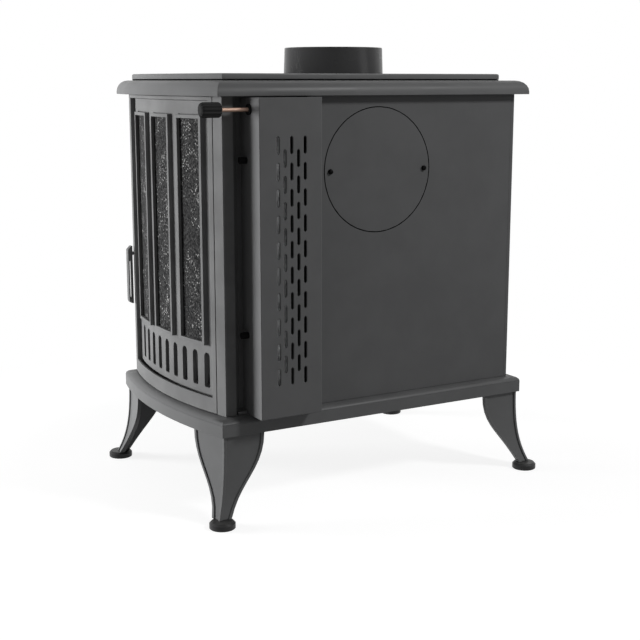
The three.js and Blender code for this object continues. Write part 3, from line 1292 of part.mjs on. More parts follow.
piece('door_leaf', doorLeaf(), 'casting');
['left', 'middle', 'right'].forEach((place, i) => {
  piece(`window_screen_${place}`, windowSheet(windowCentres[i], meshFront, MESH_THICK), 'screen');
  piece(`window_glass_${place}`, windowSheet(windowCentres[i], glassFront, GLASS_THICK), 'glass');
});
piece('glass_bar_lower', glassBar(barLevels[0]), 'steel');
piece('glass_bar_upper', glassBar(barLevels[1]), 'steel');
piece('door_gasket', doorGasket(), 'rope');
piece('hinge_pin_upper', hingePin(true), 'steel');
piece('hinge_pin_lower', hingePin(false), 'steel');
piece('door_handle', doorHandle(), 'casting');
piece('handle_spindle', handleSpindle(), 'steel');
piece('latch_cam', latchCam(), 'steel');
piece('latch_keeper', latchKeeper(), 'steel');
piece('grate', grate(), 'casting');
piece('grate_rail_right', grateRail(), 'casting');
piece('grate_rail_left', mirrored(grateRail()), 'casting');
piece('firebrick_right', sideBrick(), 'brick');
piece('firebrick_left', mirrored(sideBrick()), 'brick');
piece('firebrick_back', backBrick(), 'brick');
piece('baffle_plate', bafflePlate(), 'casting');
piece('log_retainer', logRetainer(), 'casting');
piece('ash_pan', ashPan(), 'sheet');

export default stove;
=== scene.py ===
"""Visual model of a bow-fronted cast-iron box stove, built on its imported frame."""

import logging
import math
from collections.abc import Iterable, Sequence
from dataclasses import dataclass, field
from enum import Enum
from typing import Any

import bpy
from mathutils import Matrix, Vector

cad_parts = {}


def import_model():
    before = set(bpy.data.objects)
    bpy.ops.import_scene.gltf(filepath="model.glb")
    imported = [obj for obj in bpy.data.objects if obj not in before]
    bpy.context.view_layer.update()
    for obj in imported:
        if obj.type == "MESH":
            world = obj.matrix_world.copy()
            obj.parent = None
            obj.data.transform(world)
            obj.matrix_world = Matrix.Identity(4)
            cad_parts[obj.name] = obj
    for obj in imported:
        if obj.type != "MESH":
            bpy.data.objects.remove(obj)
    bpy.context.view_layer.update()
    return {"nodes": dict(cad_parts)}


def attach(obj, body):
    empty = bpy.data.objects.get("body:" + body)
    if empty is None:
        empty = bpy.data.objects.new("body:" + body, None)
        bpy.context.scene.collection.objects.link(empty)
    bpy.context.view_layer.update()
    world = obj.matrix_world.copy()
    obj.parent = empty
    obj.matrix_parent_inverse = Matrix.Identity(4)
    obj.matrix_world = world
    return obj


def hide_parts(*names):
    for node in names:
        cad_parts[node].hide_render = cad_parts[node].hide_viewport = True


LOG = logging.getLogger("stove")
MM = 0.001

Colour = tuple[float, float, float]
Pair = tuple[float, float]
Point = tuple[float, float, float]
Face = tuple[int, ...]
Solid = tuple[list[Point], list[Face]]
Socket = bpy.types.NodeSocket

WHOLE: Pair = (0.0, 1.0)
ALONG_X, ALONG_Y, ALONG_Z = (1.0, 0.0, 0.0), (0.0, 1.0, 0.0), (0.0, 0.0, 1.0)


# ------------------------------------------------------------------ node writing


class Graph:
    """Writes one node tree, passing sockets round as plain values."""

    def __init__(self, tree: bpy.types.NodeTree) -> None:
        """Keeps the tree that new nodes go into."""
        self.tree = tree

    def feed(self, target: Socket, value: Any) -> None:
        """Links a socket to target, or sets target's own value.

        Args:
            target: The input to fill.
            value: A socket to link, or a constant.
        """
        if isinstance(value, Socket):
            self.tree.links.new(value, target)
        else:
            target.default_value = value

    def add(self, kind: str, inputs: dict[str | int, Any] | None = None, **settings: Any) -> bpy.types.Node:
        """Adds a node.

        Args:
            kind: The node's type name.
            inputs: Values or sockets by input name or number.
            **settings: Properties of the node, set before its inputs.

        Returns:
            The new node.
        """
        node = self.tree.nodes.new(kind)
        for name, value in settings.items():
            setattr(node, name, value)
        for key, value in (inputs or {}).items():
            self.feed(node.inputs[key], value)
        return node

    def math(self, operation: str, first: Any, second: Any = 0.0, clamp: bool = False) -> Socket:
        """The result of a Math node, kept within 0 and 1 where clamp is set."""
        node = self.add("ShaderNodeMath", {0: first, 1: second}, operation=operation, use_clamp=clamp)
        return node.outputs[0]

    def plus(self, first: Any, second: Any) -> Socket:
        """First plus second."""
        return self.math("ADD", first, second)

    def minus(self, first: Any, second: Any) -> Socket:
        """First minus second."""
        return self.math("SUBTRACT", first, second)

    def times(self, first: Any, second: Any) -> Socket:
        """First times second."""
        return self.math("MULTIPLY", first, second)

    def over(self, first: Any, second: Any) -> Socket:
        """First divided by second."""
        return self.math("DIVIDE", first, second)

    def vector(self, operation: str, first: Any, second: Any = (0.0, 0.0, 0.0),
               output: str = "Vector") -> Socket:
        """The named output of a Vector Math node."""
        return self.add("ShaderNodeVectorMath", {0: first, 1: second}, operation=operation).outputs[output]

    def scaled(self, vector: Any, factor: Any) -> Socket:
        """A vector times one number."""
        return self.add("ShaderNodeVectorMath", {0: vector, "Scale": factor}, operation="SCALE").outputs[0]

    def parts(self, vector: Any) -> bpy.types.NodeOutputs:
        """The X, Y and Z of a vector."""
        return self.add("ShaderNodeSeparateXYZ", {0: vector}).outputs

    def point(self, **parts: Any) -> Socket:
        """A vector of the given X, Y and Z."""
        return self.add("ShaderNodeCombineXYZ", parts).outputs[0]

    def spread(self, value: Any, span: Pair, result: Pair = WHOLE) -> Socket:
        """Maps a span to a range of results, clamped and eased.

        Args:
            value: The value to map.
            span: Values that give the first and the second result.
            result: The two results.

        Returns:
            The mapped value.
        """
        inputs = {"Value": value, "From Min": span[0], "From Max": span[1], "To Min": result[0],
                  "To Max": result[1]}
        return self.add("ShaderNodeMapRange", inputs, interpolation_type="SMOOTHSTEP").outputs[0]

    def noise(self, place: Any, scale: Any, detail: float = 2.0, rough: float = 0.5) -> Socket:
        """The value of a Noise Texture, its scale in cells a metre."""
        inputs = {"Vector": place, "Scale": scale, "Detail": detail, "Roughness": rough}
        return self.add("ShaderNodeTexNoise", inputs).outputs[0]

    def cells(self, place: Any, scale: Any, feature: str = "F1") -> bpy.types.NodeOutputs:
        """The outputs of a Voronoi Texture, its scale in cells a metre."""
        return self.add("ShaderNodeTexVoronoi", {"Vector": place, "Scale": scale}, feature=feature).outputs

    def channels(self, colour: Any) -> bpy.types.NodeOutputs:
        """The three channels of a colour."""
        return self.add("ShaderNodeSeparateColor", {0: colour}).outputs

    def blend(self, share: Any, first: Any, second: Any) -> Socket:
        """The first colour with a share of the second mixed in."""
        inputs = {"Factor": share, 6: rgba(first), 7: rgba(second)}
        return self.add("ShaderNodeMix", inputs, data_type="RGBA", blend_type="MIX").outputs[2]


def rgba(colour: Any) -> Any:
    """A colour with alpha, or the socket that it came as."""
    return colour if isinstance(colour, Socket) else (*colour[:3], 1.0)


def shade(colour: Colour, factor: float, haze: float = 0.0) -> Colour:
    """A colour made lighter or darker, with a little haze over it."""
    return tuple(min(1.0, channel * factor + haze) for channel in colour)


class Kind(Enum):
    """Kinds of sockets on a group."""

    NUMBER = "NodeSocketFloat"
    COUNT = "NodeSocketInt"
    VECTOR = "NodeSocketVector"
    SHAPE = "NodeSocketGeometry"
    OBJECT = "NodeSocketObject"
    MATERIAL = "NodeSocketMaterial"


@dataclass
class Tree:
    """A node group with named inputs, ready to be written or used."""

    tree: bpy.types.NodeTree
    graph: Graph
    source: bpy.types.Node
    sink: bpy.types.Node

    @classmethod
    def start(cls, name: str, kind: str, inputs: dict[str, Kind], outputs: dict[str, Kind]) -> "Tree":
        """Makes a group with its interface.

        Args:
            name: The group's name.
            kind: ShaderNodeTree or GeometryNodeTree.
            inputs: Kind of each input by name.
            outputs: Kind of each output by name.

        Returns:
            The group, with its input and output nodes.
        """
        tree = bpy.data.node_groups.new(name, kind)
        for way, sockets in (("INPUT", inputs), ("OUTPUT", outputs)):
            for label, socket in sockets.items():
                tree.interface.new_socket(name=label, in_out=way, socket_type=socket.value)
        graph = Graph(tree)
        return cls(tree, graph, graph.add("NodeGroupInput"), graph.add("NodeGroupOutput"))

    def read(self, name: str) -> Socket:
        """The value of a named input inside the group."""
        return self.source.outputs[name]

    def write(self, name: str, value: Socket) -> None:
        """Sends a value to a named output of the group."""
        self.graph.feed(self.sink.inputs[name], value)

    def dress(self, shape: Socket) -> None:
        """Realizes a shape, gives it the Finish input and sends it out as Geometry.

        Args:
            shape: The shape's socket.
        """
        real = self.graph.add("GeometryNodeRealizeInstances", {0: shape})
        inputs = {"Geometry": real.outputs[0], "Material": self.read("Finish")}
        self.write("Geometry", self.graph.add("GeometryNodeSetMaterial", inputs).outputs[0])

    def identifier(self, name: str) -> str:
        """The identifier by which a modifier knows a named input.

        Args:
            name: The input's name.

        Returns:
            Its identifier.
        """
        for item in self.tree.interface.items_tree:
            if item.item_type == "SOCKET" and item.in_out == "INPUT" and item.name == name:
                return item.identifier
        raise KeyError(name)


# ------------------------------------------------------------------ shared shader effects


class Effects:
    """The shader groups that several finishes share, each built once."""

    SAND_SHARE = 0.7
    PIT_SHARE = 0.3
    PIT_SCALE = 0.33
    PIT_SPAN = (0.0, 0.55)
    MOTTLE_SPAN = (0.3, 0.7)
    EDGE_TURN = (0.02, 0.25)
    CHIP_SCALE = 160.0
    CHIP_SPAN = (0.35, 0.65)
    BEVEL_SAMPLES = 6
    DUST_FACING = (0.55, 1.0)
    DUST_SCALE = 26.0
    DUST_SPAN = (0.25, 0.8)
    STREAK_STRETCH = 0.97
    TINT_SCALE = 120.0

    def __init__(self) -> None:
        """Builds every group."""
        self.grain = self._grain()
        self.edges = self._edges()
        self.dust = self._dust()
        self.streaks = self._streaks()

    @staticmethod
    def _start(name: str, inputs: dict[str, Kind], outputs: dict[str, Kind]) -> Tree:
        """Starts a shader group that also reads Vector."""
        return Tree.start(name, "ShaderNodeTree", {"Vector": Kind.VECTOR, **inputs}, outputs)

    def _grain(self) -> bpy.types.NodeTree:
        """Sand-cast grain under paint, with a broad mottle.

        Returns:
            The group: Height and Mottle from Vector, Grain and Patch sizes in metres.
        """
        tree = self._start("cast grain", {"Grain": Kind.NUMBER, "Patch": Kind.NUMBER},
                           {"Height": Kind.NUMBER, "Mottle": Kind.NUMBER})
        g, place = tree.graph, tree.read("Vector")
        fine = g.over(1.0, tree.read("Grain"))
        sand = g.noise(place, fine, detail=3.0, rough=0.62)
        pits = g.cells(place, g.times(fine, self.PIT_SCALE), "SMOOTH_F1")
        dimple = g.spread(pits["Distance"], self.PIT_SPAN)
        tree.write("Height", g.plus(g.times(sand, self.SAND_SHARE), g.times(dimple, self.PIT_SHARE)))
        broad = g.noise(place, g.over(1.0, tree.read("Patch")), detail=3.0, rough=0.55)
        tree.write("Mottle", g.spread(broad, self.MOTTLE_SPAN))
        return tree.tree

    def _edges(self) -> bpy.types.NodeTree:
        """Rounded edge normals, with a broken-up mask along the edges.

        Returns:
            The group: Normal and Mask from Vector, Radius and Break.
        """
        tree = self._start("rounded edges", {"Radius": Kind.NUMBER, "Break": Kind.NUMBER},
                           {"Normal": Kind.VECTOR, "Mask": Kind.NUMBER})
        g = tree.graph
        bevel = g.add("ShaderNodeBevel", {"Radius": tree.read("Radius")}, samples=self.BEVEL_SAMPLES)
        face = g.add("ShaderNodeNewGeometry").outputs["Normal"]
        turn = g.minus(1.0, g.vector("DOT_PRODUCT", bevel.outputs[0], face, "Value"))
        chips = g.spread(g.noise(tree.read("Vector"), self.CHIP_SCALE, detail=3.0, rough=0.7), self.CHIP_SPAN)
        broken = g.add("ShaderNodeMix", {0: tree.read("Break"), 2: 1.0, 3: chips}, data_type="FLOAT")
        tree.write("Mask", g.times(g.spread(turn, self.EDGE_TURN), broken.outputs[0]))
        tree.write("Normal", bevel.outputs[0])
        return tree.tree

    def _dust(self) -> bpy.types.NodeTree:
        """Fine dust that settles on what faces up.

        Returns:
            The group: Mask from Vector and Amount.
        """
        tree = self._start("settled dust", {"Amount": Kind.NUMBER}, {"Mask": Kind.NUMBER})
        g = tree.graph
        up = g.parts(g.add("ShaderNodeNewGeometry").outputs["Normal"])["Z"]
        clouds = g.noise(tree.read("Vector"), self.DUST_SCALE, detail=5.0, rough=0.65)
        settled = g.times(g.spread(up, self.DUST_FACING), g.spread(clouds, self.DUST_SPAN))
        tree.write("Mask", g.times(settled, tree.read("Amount")))
        return tree.tree

    def _streaks(self) -> bpy.types.NodeTree:
        """Drawn or brushed metal: fine lines along the chosen axis.

        Returns:
            The group: Height and Tint from Vector, Along and Spacing.
        """
        tree = self._start("drawn streaks", {"Along": Kind.VECTOR, "Spacing": Kind.NUMBER},
                           {"Height": Kind.NUMBER, "Tint": Kind.NUMBER})
        g = tree.graph
        squeeze = g.vector("SUBTRACT", (1.0, 1.0, 1.0), g.scaled(tree.read("Along"), self.STREAK_STRETCH))
        stretched = g.vector("MULTIPLY", tree.read("Vector"), squeeze)
        tree.write("Height", g.noise(stretched, g.over(1.0, tree.read("Spacing")), detail=3.0, rough=0.6))
        tree.write("Tint", g.spread(g.noise(stretched, self.TINT_SCALE), self.MOTTLE_SPAN))
        return tree.tree


# ------------------------------------------------------------------ finishes


class Axis(Enum):
    """The direction that a metal was drawn or brushed in."""

    DEEP = ALONG_Y
    UP = ALONG_Z


class Writer:
    """A new material with its shader, coordinates and the shared effects at hand."""

    def __init__(self, name: str, effects: Effects) -> None:
        """Starts a material.

        Args:
            name: The material's name.
            effects: The shared groups.
        """
        self.material = bpy.data.materials.new(name)
        self.material.use_nodes = True
        self.graph = Graph(self.material.node_tree)
        self.shader = self.material.node_tree.nodes["Principled BSDF"]
        self.effects = effects
        self.place = self.graph.add("ShaderNodeTexCoord").outputs["Object"]

    def effect(self, group: bpy.types.NodeTree, **inputs: Any) -> bpy.types.NodeOutputs:
        """Places a shared effect in the material.

        Args:
            group: The effect's group.
            **inputs: Its inputs by name, apart from Vector.

        Returns:
            The effect's outputs.
        """
        return self.graph.add("ShaderNodeGroup", {"Vector": self.place, **inputs}, node_tree=group).outputs

    def grain(self, size: float, patch: float) -> tuple[Socket, Socket]:
        """The height and the mottle of cast grain."""
        grain = self.effect(self.effects.grain, Grain=size, Patch=patch)
        return grain["Height"], grain["Mottle"]

    def edges(self, radius: float, chipped: float) -> tuple[Socket, Socket]:
        """The normal and the mask of rounded edges."""
        edges = self.effect(self.effects.edges, Radius=radius, Break=chipped)
        return edges["Normal"], edges["Mask"]

    def constant(self, **values: float) -> None:
        """Sets plain values on the shader's own sockets.

        Args:
            **values: Values by socket name, with _ for a space.
        """
        for name, value in values.items():
            self.shader.inputs[name.replace("_", " ")].default_value = value

    def bump(self, height: Socket, distance: float, normal: Socket | None = None) -> None:
        """Sends a height to the shader's normal.

        Args:
            height: The height, 0 to 1.
            distance: Metres that 1 stands for.
            normal: Normal to start from.
        """
        inputs = {"Height": height, "Distance": distance, "Strength": 1.0}
        if normal is not None:
            inputs["Normal"] = normal
        self.graph.feed(self.shader.inputs["Normal"], self.graph.add("ShaderNodeBump", inputs).outputs[0])

    def colour(self, socket: Socket) -> None:
        """Sends a colour to the shader."""
        self.graph.feed(self.shader.inputs["Base Color"], socket)

    def rough(self, mask: Socket, rough: Pair, span: Pair = WHOLE) -> None:
        """Spreads a span of a mask over a range of roughness."""
        self.graph.feed(self.shader.inputs["Roughness"], self.graph.spread(mask, span, rough))


@dataclass(frozen=True)
class Finish:
    """A surface of the stove. Each kind of finish wires its own material."""

    name: str

    def make(self, effects: Effects) -> bpy.types.Material:
        """Builds the material.

        Args:
            effects: The shared groups.

        Returns:
            The finished material.
        """
        writer = Writer(self.name, effects)
        self.wire(writer, writer.graph)
        return writer.material

    def wire(self, w: Writer, g: Graph) -> None:
        """Writes the material's nodes."""
        raise NotImplementedError


@dataclass(frozen=True)
class Paint(Finish):
    """Stove paint on a casting or a sheet."""

    colour: Colour
    roughness: float = 0.5
    swing: float = 0.05
    grain: float = 1.2 * MM
    relief: float = 0.06 * MM
    patch: float = 70 * MM
    mottle: float = 0.12
    edge: float = 1.2 * MM
    # lighter edges: partly rubbed wear, partly a painted highlight
    edge_wear_and_highlight: float = 0.35
    edge_highlight_haze: float = 0.01
    chipped: float = 0.45
    dust: float = 0.1
    dust_colour: Colour = (0.3, 0.29, 0.27)
    shine: float = 0.05
    bloom: float = 0.0
    bloom_width: float = 0.35

    def wire(self, w: Writer, g: Graph) -> None:
        """Writes a mottled coat with settled dust and lighter edges, partly rubbed wear and partly a painted
        highlight.

        Args:
            w: The new material.
            g: Its graph.
        """
        height, mottle = w.grain(self.grain, self.patch)
        normal, edge = w.edges(self.edge, self.chipped)
        dust = w.effect(w.effects.dust, Amount=self.dust)["Mask"]
        base = g.blend(mottle, shade(self.colour, 1.0 - self.mottle), shade(self.colour, 1.0 + self.mottle))
        # edges lightened: partly rubbed wear, partly a painted highlight
        worn_and_highlit = g.blend(edge, base, shade(self.colour, 1.0 + self.edge_wear_and_highlight, self.edge_highlight_haze))
        w.colour(g.blend(dust, worn_and_highlit, self.dust_colour))
        w.rough(mottle, (self.roughness - self.swing, self.roughness + self.swing))
        w.bump(height, self.relief, normal)
        w.constant(Specular_IOR_Level=self.shine, Sheen_Weight=self.bloom, Sheen_Roughness=self.bloom_width)


@dataclass(frozen=True)
class BareMetal(Finish):
    """Drawn, brushed or heat-tinted metal."""

    colour: Colour
    roughness: float = 0.34
    smoother: float = 0.06
    rougher: float = 0.1
    along: Axis = Axis.DEEP
    spacing: float = 0.5 * MM
    streak_span: Pair = (0.3, 0.7)
    relief: float = 0.01 * MM
    edge: float = 0.4 * MM
    chipped: float = 0.2
    tint: Colour = (0.35, 0.33, 0.31)
    tint_share: float = 0.2

    def wire(self, w: Writer, g: Graph) -> None:
        """Writes fine streaks with a tint along them.

        Args:
            w: The new material.
            g: Its graph.
        """
        streaks = w.effect(w.effects.streaks, Along=self.along.value, Spacing=self.spacing)
        normal, _ = w.edges(self.edge, self.chipped)
        w.colour(g.blend(g.times(streaks["Tint"], self.tint_share), self.colour, self.tint))
        w.rough(streaks["Height"], (self.roughness - self.smoother, self.roughness + self.rougher),
                self.streak_span)
        w.bump(streaks["Height"], self.relief, normal)
        w.constant(Metallic=1.0)


@dataclass(frozen=True)
class Galvanised(Finish):
    """Zinc-coated sheet with large, soft spangles."""

    light: Colour = (0.78, 0.79, 0.8)
    dull: Colour = (0.6, 0.61, 0.62)
    spangle: float = 7 * MM
    grain: float = 0.7 * MM
    patch: float = 40 * MM
    relief: float = 0.02 * MM
    edge: float = 0.8 * MM
    chipped: float = 0.2
    roughness: Pair = (0.42, 0.6)
    metal: float = 0.25

    def wire(self, w: Writer, g: Graph) -> None:
        """Writes spangles that each have their own shade.

        Args:
            w: The new material.
            g: Its graph.
        """
        height, _ = w.grain(self.grain, self.patch)
        normal, _ = w.edges(self.edge, self.chipped)
        zinc = g.channels(g.cells(w.place, 1.0 / self.spangle)["Color"])[0]
        w.colour(g.blend(zinc, self.dull, self.light))
        w.rough(zinc, self.roughness)
        w.bump(height, self.relief, normal)
        w.constant(Metallic=self.metal)


@dataclass(frozen=True)
class RawIron(Finish):
    """Unpainted casting inside the fire, with soot and a little scale."""

    colour: Colour = (0.075, 0.07, 0.067)
    scale: Colour = (0.12, 0.085, 0.065)
    scale_places: float = 70.0
    scale_span: Pair = (0.55, 0.72)
    scale_share: float = 0.55
    rubbed: Colour = (0.2, 0.19, 0.18)
    rubbed_share: float = 0.5
    grain: float = 1.6 * MM
    patch: float = 30 * MM
    relief: float = 0.2 * MM
    edge: float = 1.2 * MM
    chipped: float = 0.7
    roughness: Pair = (0.6, 0.82)
    shine: float = 0.35

    def wire(self, w: Writer, g: Graph) -> None:
        """Writes dark iron with spots of scale and rubbed edges.

        Args:
            w: The new material.
            g: Its graph.
        """
        height, mottle = w.grain(self.grain, self.patch)
        normal, edge = w.edges(self.edge, self.chipped)
        spots = g.spread(g.noise(w.place, self.scale_places, detail=6.0, rough=0.7), self.scale_span)
        base = g.blend(g.times(spots, self.scale_share), self.colour, self.scale)
        w.colour(g.blend(g.times(edge, self.rubbed_share), base, self.rubbed))
        w.rough(mottle, self.roughness)
        w.bump(height, self.relief, normal)
        w.constant(Specular_IOR_Level=self.shine)


@dataclass(frozen=True)
class Firebrick(Finish):
    """Pressed firebrick: buff, porous, with dark grog."""

    colour: Colour = (0.47, 0.40, 0.30)
    deep: float = 0.86
    grog: Colour = (0.25, 0.19, 0.13)
    grog_places: float = 240.0
    grog_span: Pair = (0.32, 0.12)
    grog_patches: float = 95.0
    grog_chance: Pair = (0.5, 0.62)
    rubbed: Colour = (0.62, 0.56, 0.46)
    rubbed_share: float = 0.4
    grain: float = 1.0 * MM
    patch: float = 45 * MM
    pore: float = 0.35
    relief: float = 0.35 * MM
    edge: float = 2.0 * MM
    chipped: float = 0.9
    rough_span: Pair = (0.3, 0.7)
    roughness: Pair = (0.86, 0.97)
    shine: float = 0.2

    def wire(self, w: Writer, g: Graph) -> None:
        """Writes buff brick with grog, which leaves pores.

        Args:
            w: The new material.
            g: Its graph.
        """
        height, mottle = w.grain(self.grain, self.patch)
        normal, edge = w.edges(self.edge, self.chipped)
        specks = g.spread(g.cells(w.place, self.grog_places)["Distance"], self.grog_span)
        chance = g.spread(g.noise(w.place, self.grog_patches), self.grog_chance)
        base = g.blend(mottle, shade(self.colour, self.deep), self.colour)
        grogged = g.blend(g.times(specks, chance), base, self.grog)
        w.colour(g.blend(g.times(edge, self.rubbed_share), grogged, self.rubbed))
        w.rough(height, self.roughness, self.rough_span)
        w.bump(g.minus(height, g.times(specks, self.pore)), self.relief, normal)
        w.constant(Specular_IOR_Level=self.shine)


@dataclass(frozen=True)
class RopeFibre(Finish):
    """Grey glass-fibre rope, knitted fine."""

    colour: Colour = (0.1, 0.098, 0.092)
    pale: Colour = (0.2, 0.195, 0.185)
    knit_span: Pair = (0.25, 0.75)
    knit: float = 260.0
    uneven: float = 2.5
    octaves: float = 2.0
    grain: float = 0.5 * MM
    patch: float = 12 * MM
    relief: float = 0.25 * MM
    roughness: Pair = (0.86, 0.98)
    shine: float = 0.15
    fuzz: float = 0.25
    fuzz_width: float = 0.5

    def wire(self, w: Writer, g: Graph) -> None:
        """Writes a fine slanting knit.

        Args:
            w: The new material.
            g: Its graph.
        """
        fibre, mottle = w.grain(self.grain, self.patch)
        inputs = {"Vector": w.place, "Scale": self.knit, "Distortion": self.uneven, "Detail": self.octaves}
        knit = g.add("ShaderNodeTexWave", inputs, bands_direction="DIAGONAL").outputs["Fac"]
        height = g.times(g.plus(knit, fibre), 0.5)
        w.colour(g.blend(g.spread(height, self.knit_span), self.colour, self.pale))
        w.rough(mottle, self.roughness)
        w.bump(height, self.relief)
        w.constant(Specular_IOR_Level=self.shine, Sheen_Weight=self.fuzz, Sheen_Roughness=self.fuzz_width)


@dataclass(frozen=True)
class StoveGlass(Finish):
    """Dark heat-resistant glass with a light haze."""

    colour: Colour = (0.03, 0.032, 0.033)
    haze: Colour = (0.07, 0.068, 0.064)
    haze_share: float = 0.35
    haze_patches: float = 22.0
    haze_span: Pair = (0.3, 0.75)
    roughness: Pair = (0.05, 0.16)
    bend: float = 1.47
    clear: float = 0.35
    shine: float = 0.5

    def wire(self, w: Writer, g: Graph) -> None:
        """Writes dark glass that is hazed in patches.

        Args:
            w: The new material.
            g: Its graph.
        """
        haze = g.spread(g.noise(w.place, self.haze_patches, detail=4.0, rough=0.6), self.haze_span)
        w.colour(g.blend(g.times(haze, self.haze_share), self.colour, self.haze))
        w.rough(haze, self.roughness)
        w.constant(IOR=self.bend, Transmission_Weight=self.clear, Specular_IOR_Level=self.shine)


@dataclass(frozen=True)
class CrystalScreen(Finish):
    """Blackened pressed screen, with painted glints on some of its small facets."""

    colour: Colour = (0.042, 0.0422, 0.0425)
    deep: Colour = (0.006, 0.006, 0.0063)
    web: Colour = (0.045, 0.045, 0.046)
    web_share: float = 0.3
    # near-white colour of the painted glints
    painted_glint: Colour = (0.48, 0.48, 0.475)
    squash: Point = (1.0, 0.0, 0.72)
    facet: float = 2.0 * MM
    facet_shades: Pair = (0.25, 0.75)
    chain: float = 21 * MM
    chain_span: Pair = (0.2, 0.02)
    patches: float = 30.0
    patch_span: Pair = (0.4, 0.56)
    stray: float = 0.1
    lucky: Pair = (0.5, 0.88)
    heart: Pair = (0.55, 0.25)
    grain: float = 0.8 * MM
    patch: float = 24 * MM
    relief: float = 0.3 * MM
    roughness: Pair = (0.5, 0.7)
    shine: float = 0.04

    def wire(self, w: Writer, g: Graph) -> None:
        """Writes dark facets, with painted glints on some of them in chains and clusters.

        Args:
            w: The new material.
            g: Its graph.
        """
        height, _ = w.grain(self.grain, self.patch)
        flat = g.vector("MULTIPLY", w.place, self.squash)
        cells = g.cells(flat, 1.0 / self.facet)
        chance = g.channels(cells["Color"])
        chains = g.cells(flat, 1.0 / self.chain, "DISTANCE_TO_EDGE")
        clusters = g.times(g.spread(chains["Distance"], self.chain_span),
                           g.spread(g.noise(w.place, self.patches, detail=2.0, rough=0.6), self.patch_span))
        clusters = g.math("ADD", clusters, self.stray, clamp=True)
        # painted glints: near-white colour on chosen facets, gathered in chains and clusters
        bright = g.times(g.spread(chance[0], self.lucky), g.spread(cells["Distance"], self.heart))
        dark = g.blend(g.spread(chance[1], self.facet_shades), self.deep, self.colour)
        web = g.blend(g.times(height, self.web_share), dark, self.web)
        w.colour(g.blend(g.times(bright, clusters), web, self.painted_glint))
        w.rough(chance[2], self.roughness)
        w.bump(height, self.relief)
        w.constant(Specular_IOR_Level=self.shine)


class Rack:
    """Every finish of the stove, made when it is first asked for."""

    finishes: tuple[Finish, ...] = (
        Paint("casting_paint", (0.124, 0.1255, 0.127), roughness=0.4, mottle=0.06, edge_wear_and_highlight=0.15, dust=0.05,
              shine=0.14),
        Paint("door_paint", (0.17, 0.171, 0.172), roughness=0.62, edge=0.8 * MM, dust=0.05),
        # panel and sheet paint are darker than door paint, partly as painted shade on the side-facing panels
        # and fairings
        Paint("panel_paint", (0.128, 0.129, 0.131), roughness=0.66, grain=0.9 * MM, relief=0.03 * MM,
              mottle=0.05, edge=0.6 * MM, dust=0.05),
        Paint("sheet_paint", (0.142, 0.143, 0.145), roughness=0.64, grain=0.8 * MM, relief=0.02 * MM,
              mottle=0.05, edge=2.2 * MM, edge_wear_and_highlight=0.25, dust=0.05),
        Paint("collar_paint", (0.04, 0.04, 0.041), roughness=0.26, shine=0.14, mottle=0.05, edge=1.0 * MM,
              dust=0.04, bloom=0.35),
        Paint("fastener_black", (0.007, 0.007, 0.0073), roughness=0.5, grain=0.7 * MM, relief=0.01 * MM,
              edge=0.4 * MM, edge_wear_and_highlight=0.8, dust=0.0, shine=0.05),
        # near-black for the cords and beads of painted shade that darken gaps
        Paint("seal_black", (0.006, 0.006, 0.0062), roughness=0.75, grain=0.6 * MM, relief=0.02 * MM,
              edge=0.3 * MM, edge_wear_and_highlight=0.3, dust=0.0, shine=0.02),
        Paint("foot_black", (0.03, 0.03, 0.0305), roughness=0.42, grain=0.9 * MM, relief=0.015 * MM,
              edge=1.0 * MM, edge_wear_and_highlight=1.0, dust=0.1, shine=0.2),
        Paint("knob_black", (0.018, 0.018, 0.0185), roughness=0.55, grain=0.6 * MM, relief=0.01 * MM,
              edge=0.6 * MM, edge_wear_and_highlight=1.2, dust=0.03, shine=0.08),
        Paint("pan_black", (0.05, 0.05, 0.051), roughness=0.5, grain=0.8 * MM, relief=0.02 * MM,
              edge=0.8 * MM, dust=0.35),
        BareMetal("bright_steel", (0.42, 0.42, 0.43)),
        Galvanised("zinc_sheet"),
        BareMetal("pin_steel", (0.46, 0.46, 0.47), along=Axis.UP),
        BareMetal("copper_rod", (0.32, 0.218, 0.17), roughness=0.46, tint=(0.2, 0.125, 0.095),
                  tint_share=0.5),
        RawIron("raw_iron"),
        Firebrick("firebrick"),
        RopeFibre("rope_fibre"),
        StoveGlass("stove_glass"),
        CrystalScreen("crystal_screen"),
    )

    def __init__(self) -> None:
        """Starts with the shared effects and no materials."""
        self.effects = Effects()
        self.made: dict[str, bpy.types.Material] = {}

    def take(self, name: str) -> bpy.types.Material:
        """The material of a named finish.

        Args:
            name: The finish's name.

        Returns:
            Its material, built once.
        """
        if name not in self.made:
            finish = next(item for item in self.finishes if item.name == name)
            self.made[name] = finish.make(self.effects)
        return self.made[name]


# ------------------------------------------------------------------ geometry helpers


def at(x: float, y: float, z: float) -> Point:
    """A point given in millimetres."""
    return (x * MM, y * MM, z * MM)


def new_object(name: str, mesh: bpy.types.Mesh) -> bpy.types.Object:
    """A new object at the origin in the scene.

    Args:
        name: The piece's name.
        mesh: Its mesh, in metres in the shared frame.

    Returns:
        The linked object.
    """
    item = bpy.data.objects.new(name, mesh)
    bpy.context.scene.collection.objects.link(item)
    return item


